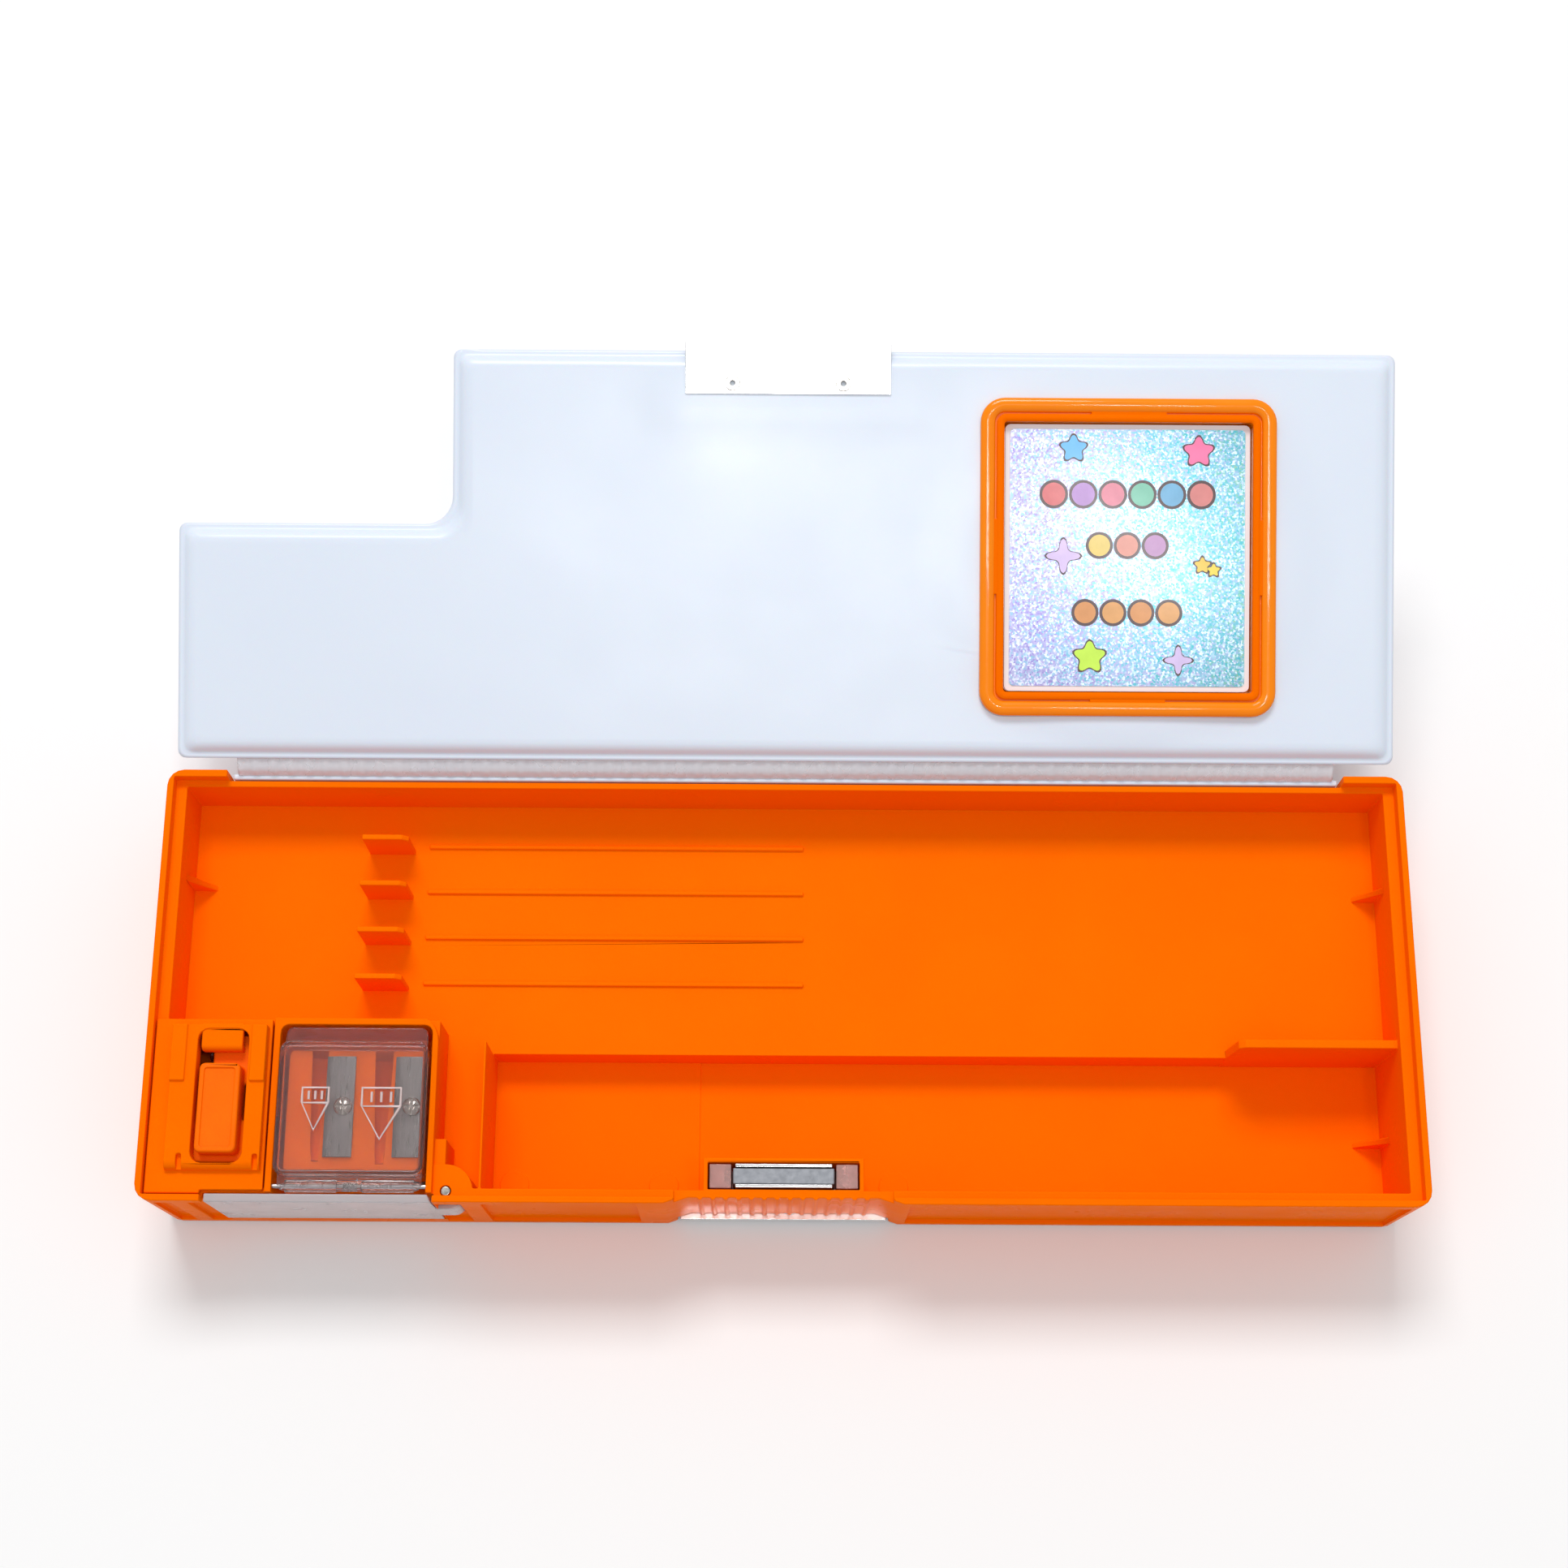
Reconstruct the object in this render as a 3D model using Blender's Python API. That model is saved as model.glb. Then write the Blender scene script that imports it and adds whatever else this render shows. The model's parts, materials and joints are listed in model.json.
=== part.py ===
"""Double-sided pencil case: an orange moulded tray with a padded lid above and a padded flap below.

The front left corner holds a push button, a pop-up sharpener and a swing-out shavings drawer.
Lengths are in metres, X runs along the case, Y from front to back and Z up. The origin is the
middle of the face that the closed case stands on. The lid is modelled closed and stands open.
"""

from math import asin, cos, degrees, pi, radians, sin

import bmesh
import bpy
from mathutils import Matrix

MM = 0.001

# Tray
CASE_LENGTH = 230 * MM
CASE_DEPTH = 80 * MM
TRAY_HEIGHT = 26.9 * MM
CORNER_RADIUS = 3 * MM
LIP = 1.2 * MM  # thin wall round the lid
SIDE_SHELF = 2 * MM  # shelf that the lid lies on, at the two ends
FRONT_SHELF = 1.6 * MM
SHELF_DROP = 2.6 * MM  # rim down to that shelf
WALL = 1.2 * MM
FLOOR = 1 * MM
CLEARANCE = 0.3 * MM
SPINE_RECESS = 1.4 * MM
EAR_LENGTH = 11 * MM  # end stretches of the back wall that stay full height
BACK_TRAY_DEPTH = 12.4 * MM
FRONT_FLOOR = 1.4 * MM
POCKET_RISE = 0.3 * MM  # the left pocket's floor is this much higher
FRONT_ZONE = 29.5 * MM  # front of the case back to the step in the floor
POCKET_LENGTH = 38.3 * MM
DIVIDER_LENGTH = 27.6 * MM
DIVIDER_THICK = 1.5 * MM
DIVIDER_HEIGHT = 10.4 * MM
PANEL_RECESS = 0.8 * MM
PANEL_BAND = 3 * MM  # flush band above and below a recessed panel
OVERRUN = 3 * MM  # how far a cutter reaches past what it cuts

# Pencil channels
CHANNEL_PITCH = 8.85 * MM
FIN_LENGTH = 8.6 * MM
FIN_THICK = 1 * MM
FIN_HEIGHT = 10.5 * MM
FIN_CHAMFER = 1.2 * MM
RIB_LENGTH = 71.2 * MM
RIB_HEIGHT = 0.6 * MM
RIB_THICK = 0.8 * MM
FIN_TO_RIB = 2.7 * MM

# Padded lid and flap
SKIN = 0.6 * MM
BOARD = 1.8 * MM
LAYER_GAP = 0.2 * MM
PANEL_GAP = 0.6 * MM  # panel edge to the lip
PANEL_CORNER = 1.5 * MM
BOARD_INSET = 2.4 * MM
LID_OPEN = radians(162.5)
HINGE_BEHIND = 1.6 * MM  # hinge line behind the back wall
HINGE_DROP = 0.5 * MM  # hinge line inside the rim
STRIP_THICK = 0.5 * MM
SPINE_THICK = 1.1 * MM
CUTOUT_SIDE = 0.2 * MM  # module to the lid's cut-out, at the side and behind
CUTOUT_BACK = 1.1 * MM
CUTOUT_FILLET = 5.2 * MM

# Magnet catches
PLATE_LENGTH = 38.2 * MM
PLATE_DEPTH = 9.5 * MM
PLATE_THICK = 0.4 * MM
PLATE_GAP = 0.25 * MM
PLATE_OVERHANG = 1.3 * MM
PLATE_LIP = 2.4 * MM
RIVET_SPACING = 20.6 * MM
RIVET_INSET = 7.6 * MM  # plate's free edge to the rivets
RIVET_HEAD_RADIUS = 1.5 * MM
RIVET_RADIUS = 0.9 * MM
RIVET_BORE = 0.5 * MM
RIVET_HEAD = 0.25 * MM
HEAD_GAP = 0.05 * MM
PLATE_ROOM = 0.2 * MM
MAGNET_LENGTH = 18.2 * MM
MAGNET_THICK = 2.9 * MM
MAGNET_HEIGHT = 8 * MM
POLE_THICK = 0.55 * MM
POLE_PROUD = 0.4 * MM
CARRIER_LENGTH = 26.6 * MM
CARRIER_DEPTH = 4.3 * MM
CARRIER_DROP = 0.7 * MM
MAGNET_WALL = 0.8 * MM
NOTCH_LENGTH = 34.2 * MM
NOTCH_FLARE = 4.3 * MM
NOTCH_DEPTH = 1.5 * MM
GRIP_PITCH = 2.3 * MM
GRIP_HEIGHT = 0.35 * MM
GRIP_WIDTH = 0.9 * MM

# Badge in the lid
BADGE_WIDTH = 55 * MM
BADGE_MARGIN = 8.7 * MM  # lid edge to the badge, front and back
BADGE_EDGE = 22.4 * MM  # lid edge to the badge, at the right
BADGE_CORNER = 4.5 * MM
BADGE_PROUD = 1.8 * MM
BADGE_RIM = 2.7 * MM
BADGE_FLANGE = 3.2 * MM  # frame edge to its neck
BADGE_RING = 1.4 * MM
BADGE_RING_DROP = 0.3 * MM
BADGE_LEDGE = 0.5 * MM
CARD_THICK = 0.4 * MM
WINDOW_THICK = 0.8 * MM
BEZEL_PROUD = 0.9 * MM

# Module in the front left corner
MODULE_LENGTH = 52.5 * MM
MODULE_DEPTH = 33.2 * MM
MODULE_DROP = 1 * MM  # rim down to the module's top
WELL_LENGTH = 27.4 * MM
WELL_WALL = 1.1 * MM
WELL_CORNER = 1.5 * MM
HOUSING_RISE = 2 * MM
HOUSING_LENGTH = 17.5 * MM
HOUSING_DEPTH = 26.1 * MM
RAIL_RISE = 0.6 * MM  # raised rails beside the slot
RAIL_WIDTH = 2.7 * MM
RAIL_LENGTH = 9.6 * MM
HOUSING_FRONT = 5.4 * MM  # case front to the raised block
SLOT_LENGTH = 9.2 * MM
SLOT_DEPTH = 24.2 * MM
SLOT_FRONT = 6.6 * MM
SLOT_CORNER = 2 * MM
TONGUE_LENGTH = 7.4 * MM
TONGUE_DEPTH = 3.9 * MM
BUTTON_LENGTH = 7.3 * MM
BUTTON_DEPTH = 16 * MM
BUTTON_FRONT = 8.4 * MM
BUTTON_PROUD = 0.7 * MM
BUTTON_BORDER = 0.9 * MM
BUTTON_DISH = 0.35 * MM
BUTTON_CORNER = 1 * MM
BUTTON_BODY = 11 * MM
BUTTON_SKIRT = 1.2 * MM  # thickness of the flange that keeps the button in
BUTTON_TRAVEL = 2 * MM
SPRING_RADIUS = 2 * MM
SPRING_WIRE = 0.3 * MM
SPRING_SIDE = 3.2 * MM  # slot's side to the spring
LEVER_ARM = 5.5 * MM  # pivot out to the button's stem
LEVER_RISE = 4.85 * MM
LEVER_THICK = 1.3 * MM
LEVER_DEPTH = 4.6 * MM
LEVER_HUB = 1.5 * MM
LEVER_PIN = 0.6 * MM
LEVER_LIFT = 3.05 * MM  # back floor up to the pivot
LEVER_INSET = 2 * MM  # well wall to the pivot
LEVER_PLACE = 18 * MM  # case front to the lever

# Sharpener
SHARPENER_GAP = 0.4 * MM
HOOD_WALL = 0.7 * MM
HOOD_RISE = 2 * MM  # module top up to the hood
HOOD_DEPTH = 24.1 * MM
HOOD_FRONT = 4.6 * MM
HOOD_HEIGHT = 6.5 * MM
HOOD_CORNER = 1.8 * MM
FLANGE_DEPTH = 3 * MM
FLANGE_THICK = 1 * MM
FLANGE_CORNER = 1.3 * MM
FRONT_LIP = 0.9 * MM  # hinge line forward to the hood's front lip
BARREL_RADIUS = 1.1 * MM
BARREL_FRONT = 3 * MM
BARREL_DROP = 1.4 * MM  # module top down to the pivot
PIVOT_RADIUS = 0.4 * MM
BODY_DROP = 2.7 * MM  # module top down to the body's top
# mm: place, mouth radius, tip radius, front wall left, blade offset
CONES = ((7.0, 4.1, 0.8, 2.1, 1.4), (18.6, 5.2, 1.0, 1.6, 2.2))
CONE_BREAK = 0.25 * MM
BLADE_FRONT = 2.7 * MM
BLADE_WIDTH = 5.2 * MM
BLADE_THICK = 0.5 * MM
BLADE_EDGE = 0.9 * MM
BLADE_BACK = 1.2 * MM
SCREW_INSET = 1.9 * MM
SCREW_HEAD = 1.7 * MM
SCREW_DOME = 0.8 * MM
SCREW_SHANK = 0.8 * MM
SCREW_LENGTH = 6 * MM
SCREW_SLOT = 0.4 * MM
POP_SPRING_RADIUS = 0.62 * MM
POP_SPRING_WIRE = 0.14 * MM
POP_SPRING_ROOM = 4.4 * MM

# Shavings drawer
PIN_FROM_LEFT = 54.8 * MM
PIN_FROM_FRONT = 2.3 * MM
PIN_RADIUS = 0.9 * MM
DRAWER_WALL = 1 * MM
DRAWER_FACE = 1.5 * MM
DRAWER_REACH = 42.7 * MM  # pin to the drawer's far end
DRAWER_DEPTH = 23.5 * MM
DRAWER_PIN_GAP = 2.4 * MM
TANK_PIN_GAP = 3.4 * MM
LUG_RADIUS = 2.3 * MM
LUG_LOW = 5 * MM
LUG_HEIGHT = 8 * MM
BOSS_RADIUS = 4.8 * MM

# Levels and edges that follow from the sizes above
PANEL = 2 * SKIN + BOARD + 2 * LAYER_GAP
RIM_LOW = PANEL + CLEARANCE - SHELF_DROP
RIM_TOP = RIM_LOW + TRAY_HEIGHT
SHELF_TOP = RIM_TOP - SHELF_DROP
SHELF_LOW = RIM_LOW + SHELF_DROP
LID_FACE = SHELF_TOP + CLEARANCE
CLOSED_TOP = LID_FACE + PANEL
BACK_FLOOR = SHELF_TOP - BACK_TRAY_DEPTH
LOWER_ROOF = BACK_FLOOR - FLOOR
FRONT_FLOOR_TOP = SHELF_LOW + FRONT_FLOOR
MODULE_TOP = RIM_TOP - MODULE_DROP
PLATE_ZONE = PLATE_GAP + PLATE_THICK + HEAD_GAP + RIVET_HEAD + PLATE_ROOM

LEFT, RIGHT = -CASE_LENGTH / 2, CASE_LENGTH / 2
FRONT, BACK = -CASE_DEPTH / 2, CASE_DEPTH / 2
INNER_LEFT, INNER_RIGHT = LEFT + LIP + SIDE_SHELF, RIGHT - LIP - SIDE_SHELF
INNER_FRONT = FRONT + LIP + FRONT_SHELF
BACK_FACE = BACK - SPINE_RECESS
INNER_BACK = BACK_FACE - WALL
STEP = FRONT + FRONT_ZONE
MODULE_RIGHT = LEFT + MODULE_LENGTH
MODULE_BACK = FRONT + MODULE_DEPTH
WELL_RIGHT = MODULE_RIGHT - WELL_WALL
WELL_LEFT = WELL_RIGHT - WELL_LENGTH
WELL_BACK = MODULE_BACK - WALL
BARREL_Y = FRONT + BARREL_FRONT
BARREL_Z = MODULE_TOP - BARREL_DROP
WELL_FRONT = BARREL_Y + BARREL_RADIUS - CLEARANCE
PIN_X = LEFT + PIN_FROM_LEFT
PIN_Y = FRONT + PIN_FROM_FRONT
DRAWER_LOW = FRONT_FLOOR_TOP + CLEARANCE
DRAWER_ROOM = DRAWER_REACH + 0.5 * MM
POCKET_LEFT = MODULE_RIGHT + 8.5 * MM
POCKET_SPLIT = POCKET_LEFT + POCKET_LENGTH
LID_EDGE = LIP + PANEL_GAP
PANEL_FRONT, PANEL_BACK = FRONT + LIP + 0.5 * MM, BACK_FACE - 0.5 * MM
PANEL_LEFT, PANEL_RIGHT = LEFT + LID_EDGE, RIGHT - LID_EDGE
HINGE_Y = BACK_FACE + HINGE_BEHIND
LID_HINGE_Z = RIM_TOP - HINGE_DROP
FLAP_HINGE_Z = RIM_LOW + HINGE_DROP
PLATE_FREE = PANEL_FRONT - PLATE_OVERHANG
MAGNET_Y = PLATE_FREE + PLATE_DEPTH / 2 + 0.3 * MM


def clear_scene():
    for old in list(bpy.data.objects):
        bpy.data.objects.remove(old)


def finish_material(name, colour, roughness, metallic=0.0, alpha=1.0):
    material = bpy.data.materials.new(name)
    material.use_nodes = True
    shader = material.node_tree.nodes["Principled BSDF"]
    shader.inputs["Base Color"].default_value = (*colour, 1)
    shader.inputs["Roughness"].default_value = roughness
    shader.inputs["Metallic"].default_value = metallic
    shader.inputs["Alpha"].default_value = alpha
    return material


def object_from(name, shape, material=None):
    """A mesh object made from a bmesh, with its faces turned outwards and its round sides smooth."""
    bmesh.ops.recalc_face_normals(shape, faces=shape.faces)
    mesh = bpy.data.meshes.new(name)
    shape.to_mesh(mesh)
    shape.free()
    mesh.shade_smooth()
    mesh.set_sharp_from_angle(angle=radians(35))
    if material:
        mesh.materials.append(material)
    made = bpy.data.objects.new(name, mesh)
    bpy.context.scene.collection.objects.link(made)
    return made


AXES = {"X": (1, 2, 0), "Y": (0, 2, 1), "Z": (0, 1, 2)}


def prism(name, outline, span, material=None, axis="Z"):
    """The outline, in the plane across the axis, drawn out along it over the span."""
    first, second, along = AXES[axis]
    shape = bmesh.new()
    corners = []
    for u, v in outline:
        point = [0, 0, 0]
        point[first], point[second], point[along] = u, v, span[0]
        corners.append(shape.verts.new(point))
    base = shape.faces.new(corners)
    drawn = bmesh.ops.extrude_face_region(shape, geom=[base])["geom"]
    move = [0, 0, 0]
    move[along] = span[1] - span[0]
    bmesh.ops.translate(shape, vec=move, verts=[v for v in drawn if isinstance(v, bmesh.types.BMVert)])
    return object_from(name, shape, material)


def block(name, x, y, z, material=None):
    return prism(name, [(x[0], y[0]), (x[1], y[0]), (x[1], y[1]), (x[0], y[1])], z, material)


def arc(centre, radius, start, end, steps):
    """Points on a circle, with both angles in degrees and both ends included."""
    return [
        (centre[0] + radius * cos(radians(start + (end - start) * i / steps)),
         centre[1] + radius * sin(radians(start + (end - start) * i / steps)))
        for i in range(steps + 1)
    ]


def circle(centre, radius, sides=24):
    return arc(centre, radius, 0, 360, sides)[:-1]


def rounded(x, y, radius, steps=4):
    """A rectangle's outline with round corners."""
    corners = (
        (x[1] - radius, y[1] - radius, 0),
        (x[0] + radius, y[1] - radius, 90),
        (x[0] + radius, y[0] + radius, 180),
        (x[1] - radius, y[0] + radius, 270),
    )
    points = []
    for u, v, angle in corners:
        points += arc((u, v), radius, angle, angle + 90, steps)
    return points


def span_about(middle, length):
    return middle - length / 2, middle + length / 2


def grown(span, by):
    return span[0] - by, span[1] + by


def boolean(target, helper, operation):
    modifier = target.modifiers.new(helper.name, "BOOLEAN")
    modifier.operation = operation
    modifier.object = helper
    helper.hide_render = True
    helper.display_type = "WIRE"


def cut(target, *cutters):
    for cutter in cutters:
        boolean(target, cutter, "DIFFERENCE")


def join(target, *helpers):
    for helper in helpers:
        boolean(target, helper, "UNION")


def body_axis(name, place, turn=0.0, pieces=()):
    """An empty on a joint's axis, with its pieces and their helpers as children. A turn is about X."""
    axis = bpy.data.objects.new(name, None)
    bpy.context.scene.collection.objects.link(axis)
    axis.location = place
    axis.rotation_euler = (turn, 0, 0)
    waiting = list(pieces)
    while waiting:
        piece = waiting.pop()
        waiting += [m.object for m in piece.modifiers if m.type == "BOOLEAN"]
        piece.parent = axis
        piece.matrix_parent_inverse = Matrix.Translation(place).inverted()


def round_wire(name, points, radius, material):
    """A round wire along a path, with its two ends capped."""
    path = bpy.data.curves.new(name, "CURVE")
    path.dimensions = "3D"
    path.bevel_depth = radius
    path.bevel_resolution = 1
    path.use_fill_caps = True
    run = path.splines.new("POLY")
    run.points.add(len(points) - 1)
    for place, point in zip(points, run.points):
        point.co = (*place, 1)
    path.materials.append(material)
    made = bpy.data.objects.new(name, path)
    bpy.context.scene.collection.objects.link(made)
    return made


def make_button_spring(material):
    """A compression spring that stands on the back floor and lifts the button by its flange."""
    slot_x = slot_span()
    y = FRONT + BUTTON_FRONT + BUTTON_DEPTH + CLEARANCE + SPRING_WIRE + SPRING_RADIUS
    low = BACK_FLOOR + CLEARANCE + SPRING_WIRE
    high = SHELF_TOP - BUTTON_SKIRT - CLEARANCE - SPRING_WIRE
    turns, steps = 5, 14
    points = []
    for i in range(turns * steps + 1):
        u, v = arc((slot_x[0] + SPRING_SIDE, y), SPRING_RADIUS, 0, 360 * turns, turns * steps)[i]
        points.append((u, v, low + (high - low) * i / (turns * steps)))
    return round_wire("button_spring", points, SPRING_WIRE, material)


def make_pop_spring(material):
    """A torsion spring on the sharpener's pivot, one leg on the tray and one under the hood's lip."""
    middle = (WELL_LEFT + WELL_RIGHT) / 2
    turns, steps = 7.25, 12
    length = 2 * POP_SPRING_WIRE * 1.25 * turns
    coil = arc((BARREL_Y, BARREL_Z), POP_SPRING_RADIUS, 180, 180 + 360 * turns, int(turns * steps))
    points = [(middle - length / 2, coil[0][0], BARREL_Z - 1.7 * POP_SPRING_RADIUS)]
    for i, (y, z) in enumerate(coil):
        points.append((middle - length / 2 + length * i / (len(coil) - 1), y, z))
    points.append((middle + length / 2, BARREL_Y + 1.4 * MM, coil[-1][1]))
    return round_wire("pop_spring", points, POP_SPRING_WIRE, material)


# ---------------------------------------------------------------- tray


def tray_cavities(tray):
    """Hollows of the tray: both shelves, the stepped upper floor and the lower compartment."""
    above = (SHELF_TOP, RIM_TOP + OVERRUN)
    below = (RIM_LOW - OVERRUN, SHELF_LOW)
    lip = (LEFT + LIP, RIGHT - LIP)
    upper = (BACK_FLOOR, RIM_TOP)
    cut(
        tray,
        block("lid_seat", lip, (FRONT + LIP, BACK_FACE), above),
        block("flap_seat", lip, (FRONT + LIP, BACK_FACE), below),
        block("spine_recess", (LEFT + EAR_LENGTH, RIGHT - EAR_LENGTH), (BACK_FACE, BACK + OVERRUN),
              (RIM_LOW - OVERRUN, RIM_TOP + OVERRUN)),
        block("back_tray", (MODULE_RIGHT, INNER_RIGHT), (STEP, INNER_BACK), upper),
        block("back_tray_left", (INNER_LEFT, MODULE_RIGHT + WALL), (MODULE_BACK, INNER_BACK), upper),
        block("side_strip", (MODULE_RIGHT, POCKET_LEFT - 0.4 * MM), (INNER_FRONT, STEP + WALL), upper),
        block("front_pocket", (POCKET_LEFT, POCKET_SPLIT + WALL), (INNER_FRONT, STEP),
              (FRONT_FLOOR_TOP + POCKET_RISE, RIM_TOP)),
        block("front_tray", (POCKET_SPLIT, INNER_RIGHT), (INNER_FRONT, STEP), (FRONT_FLOOR_TOP, RIM_TOP)),
    )
    strip_left = PIN_X - 0.9 * MM
    low = (SHELF_LOW - OVERRUN, LOWER_ROOF)
    cut(
        tray,
        block("lower_compartment", (MODULE_RIGHT, INNER_RIGHT), (STEP + WALL, INNER_BACK), low),
        block("lower_compartment_left", (INNER_LEFT, MODULE_RIGHT + WALL),
              (PIN_Y + DRAWER_DEPTH + 2 * WALL, INNER_BACK), low),
        block("strip_underside", (strip_left, POCKET_LEFT - WALL), (INNER_FRONT, STEP + 2 * WALL), low),
        block("corner_underside", (INNER_LEFT, PIN_X - DRAWER_ROOM - WALL),
              (INNER_FRONT, PIN_Y + DRAWER_DEPTH + 3 * WALL), low),
    )


def gusset(name, foot, reach, height, level, along, thick=1 * MM):
    """A triangular rib that braces a wall. Reach runs from the wall and may be negative."""
    if along == "X":
        outline = [(foot[0], level), (foot[0] + reach, level), (foot[0], level + height)]
        return prism(name, outline, span_about(foot[1], thick), axis="Y")
    outline = [(foot[1], level), (foot[1] + reach, level), (foot[1], level + height)]
    return prism(name, outline, span_about(foot[0], thick), axis="X")


def tray_ribs(tray):
    """Pencil fins, low ribs, the divider, gussets and the round marks of the mould's ejectors."""
    channels = int((INNER_BACK - MODULE_BACK) // CHANNEL_PITCH)
    sunk = 0.4 * MM
    fin_right = MODULE_RIGHT - 7.9 * MM
    for i in range(channels):
        y = INNER_BACK - 9 * MM - i * CHANNEL_PITCH
        top = BACK_FLOOR + FIN_HEIGHT
        outline = [
            (fin_right - FIN_LENGTH, BACK_FLOOR - sunk), (fin_right, BACK_FLOOR - sunk),
            (fin_right, top - FIN_CHAMFER), (fin_right - FIN_CHAMFER, top), (fin_right - FIN_LENGTH, top),
        ]
        rib = (fin_right + FIN_TO_RIB, fin_right + FIN_TO_RIB + RIB_LENGTH)
        join(
            tray,
            prism(f"fin_{i}", outline, span_about(y, FIN_THICK), axis="Y"),
            block(f"low_rib_{i}", rib, span_about(y + 1 * MM, RIB_THICK),
                  (BACK_FLOOR - sunk, BACK_FLOOR + RIB_HEIGHT)),
        )
    start = INNER_RIGHT - DIVIDER_LENGTH
    low, top = FRONT_FLOOR_TOP - sunk, BACK_FLOOR + DIVIDER_HEIGHT
    outline = [(start - 2 * MM, low), (INNER_RIGHT + sunk, low), (INNER_RIGHT + sunk, top), (start, top)]
    outline += [(start - 1.2 * MM, top - 1 * MM), (start - 2 * MM, BACK_FLOOR)]
    join(tray, prism("divider", outline, (STEP - 0.1 * MM, STEP + DIVIDER_THICK), axis="Y"))
    height = 9 * MM
    join(
        tray,
        gusset("gusset_left", (INNER_LEFT - sunk, 21 * MM), 5 * MM, height, BACK_FLOOR - sunk, "X"),
        gusset("gusset_right", (INNER_RIGHT + sunk, 20 * MM), -5 * MM, height, BACK_FLOOR - sunk, "X"),
        gusset("gusset_low", (INNER_RIGHT + sunk, STEP - 15 * MM), -6 * MM, height,
               FRONT_FLOOR_TOP - sunk, "X"),
        gusset("gusset_front_a", (POCKET_SPLIT + 50.7 * MM, INNER_FRONT - sunk), 3 * MM, height,
               FRONT_FLOOR_TOP - sunk, "Y"),
        gusset("gusset_front_b", (INNER_RIGHT - 41 * MM, INNER_FRONT - sunk), 3 * MM, height,
               FRONT_FLOOR_TOP - sunk, "Y"),
        gusset("gusset_module_a", (WELL_LEFT + 0.6 * MM, MODULE_BACK - sunk), 2.2 * MM, height,
               BACK_FLOOR - sunk, "Y"),
        gusset("gusset_module_b", (WELL_LEFT + 14 * MM, MODULE_BACK - sunk), 2.2 * MM, height,
               BACK_FLOOR - sunk, "Y"),
    )
    level = FRONT_FLOOR_TOP + POCKET_RISE
    for i, (x, floor) in enumerate(((POCKET_LEFT + 4 * MM, level), (POCKET_SPLIT - 6.5 * MM, level),
                                    (POCKET_SPLIT + 36.2 * MM, FRONT_FLOOR_TOP))):
        mark = circle((x, INNER_FRONT + 3.5 * MM), 2.7 * MM, 20)
        join(tray, prism(f"ejector_mark_{i}", mark, (floor - sunk, floor + 0.25 * MM)))


def tray_catch(tray):
    """The magnet's housing, room for both catch plates, and the finger notch with its grip ribs."""
    half = CARRIER_LENGTH / 2 + CLEARANCE
    depth = span_about(MAGNET_Y, CARRIER_DEPTH + 2 * CLEARANCE)
    join(tray, block("magnet_housing", (-half - MAGNET_WALL, half + MAGNET_WALL),
                     (INNER_FRONT - 0.2 * MM, depth[1] + MAGNET_WALL),
                     (FRONT_FLOOR_TOP - 0.4 * MM, LID_FACE - PLATE_ZONE - 0.1 * MM)))
    cut(tray, block("magnet_well", (-half, half), depth, (RIM_LOW, RIM_TOP)))
    plate = grown(span_about(0, PLATE_LENGTH), 0.5 * MM)
    reach = (FRONT - OVERRUN, PLATE_FREE + PLATE_DEPTH + 0.6 * MM)
    cut(
        tray,
        block("lid_plate_room", plate, reach, (LID_FACE - PLATE_ZONE, RIM_TOP + OVERRUN)),
        block("flap_plate_room", plate, reach, (RIM_LOW - OVERRUN, PANEL + PLATE_ZONE)),
    )
    near, far = NOTCH_LENGTH / 2, NOTCH_LENGTH / 2 + NOTCH_FLARE
    back, tip = FRONT + NOTCH_DEPTH, FRONT + NOTCH_DEPTH - GRIP_HEIGHT
    outline = [(-near, back)]
    ribs = int(NOTCH_LENGTH // GRIP_PITCH)
    for i in range(ribs):
        x = (i - (ribs - 1) / 2) * GRIP_PITCH
        left, right = span_about(x, GRIP_WIDTH)
        outline += [(left, back), (left + 0.2 * MM, tip), (right - 0.2 * MM, tip), (right, back)]
    outline += [(near, back), (far, FRONT), (far, FRONT - OVERRUN), (-far, FRONT - OVERRUN), (-far, FRONT)]
    cut(tray, prism("finger_notch", outline, (RIM_LOW - OVERRUN, RIM_TOP + OVERRUN)))


def tray_panels(tray):
    """Shallow recesses in the outer walls between the top and bottom bands."""
    z = (RIM_LOW + 0.6 * PANEL_BAND, RIM_TOP - PANEL_BAND)
    notch = NOTCH_LENGTH / 2 + NOTCH_FLARE
    drawer_left = PIN_X - DRAWER_ROOM
    ends = (
        (LEFT + CORNER_RADIUS, LEFT + 6 * MM), (LEFT + 9 * MM, drawer_left + 1 * MM),
        (PIN_X - 2 * MM, PIN_X + 2.6 * MM), (POCKET_LEFT, -notch - 5 * MM),
        (notch + 1.3 * MM, RIGHT - CORNER_RADIUS),
    )
    for i, x in enumerate(ends):
        cut(tray, block(f"front_panel_{i}", x, (FRONT - OVERRUN, FRONT + PANEL_RECESS), z))
    y = (FRONT + 2 * CORNER_RADIUS, BACK - 2 * CORNER_RADIUS)
    cut(
        tray,
        block("left_panel", (LEFT - OVERRUN, LEFT + PANEL_RECESS), y, z),
        block("right_panel", (RIGHT - PANEL_RECESS, RIGHT + OVERRUN), y, z),
    )


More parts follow.
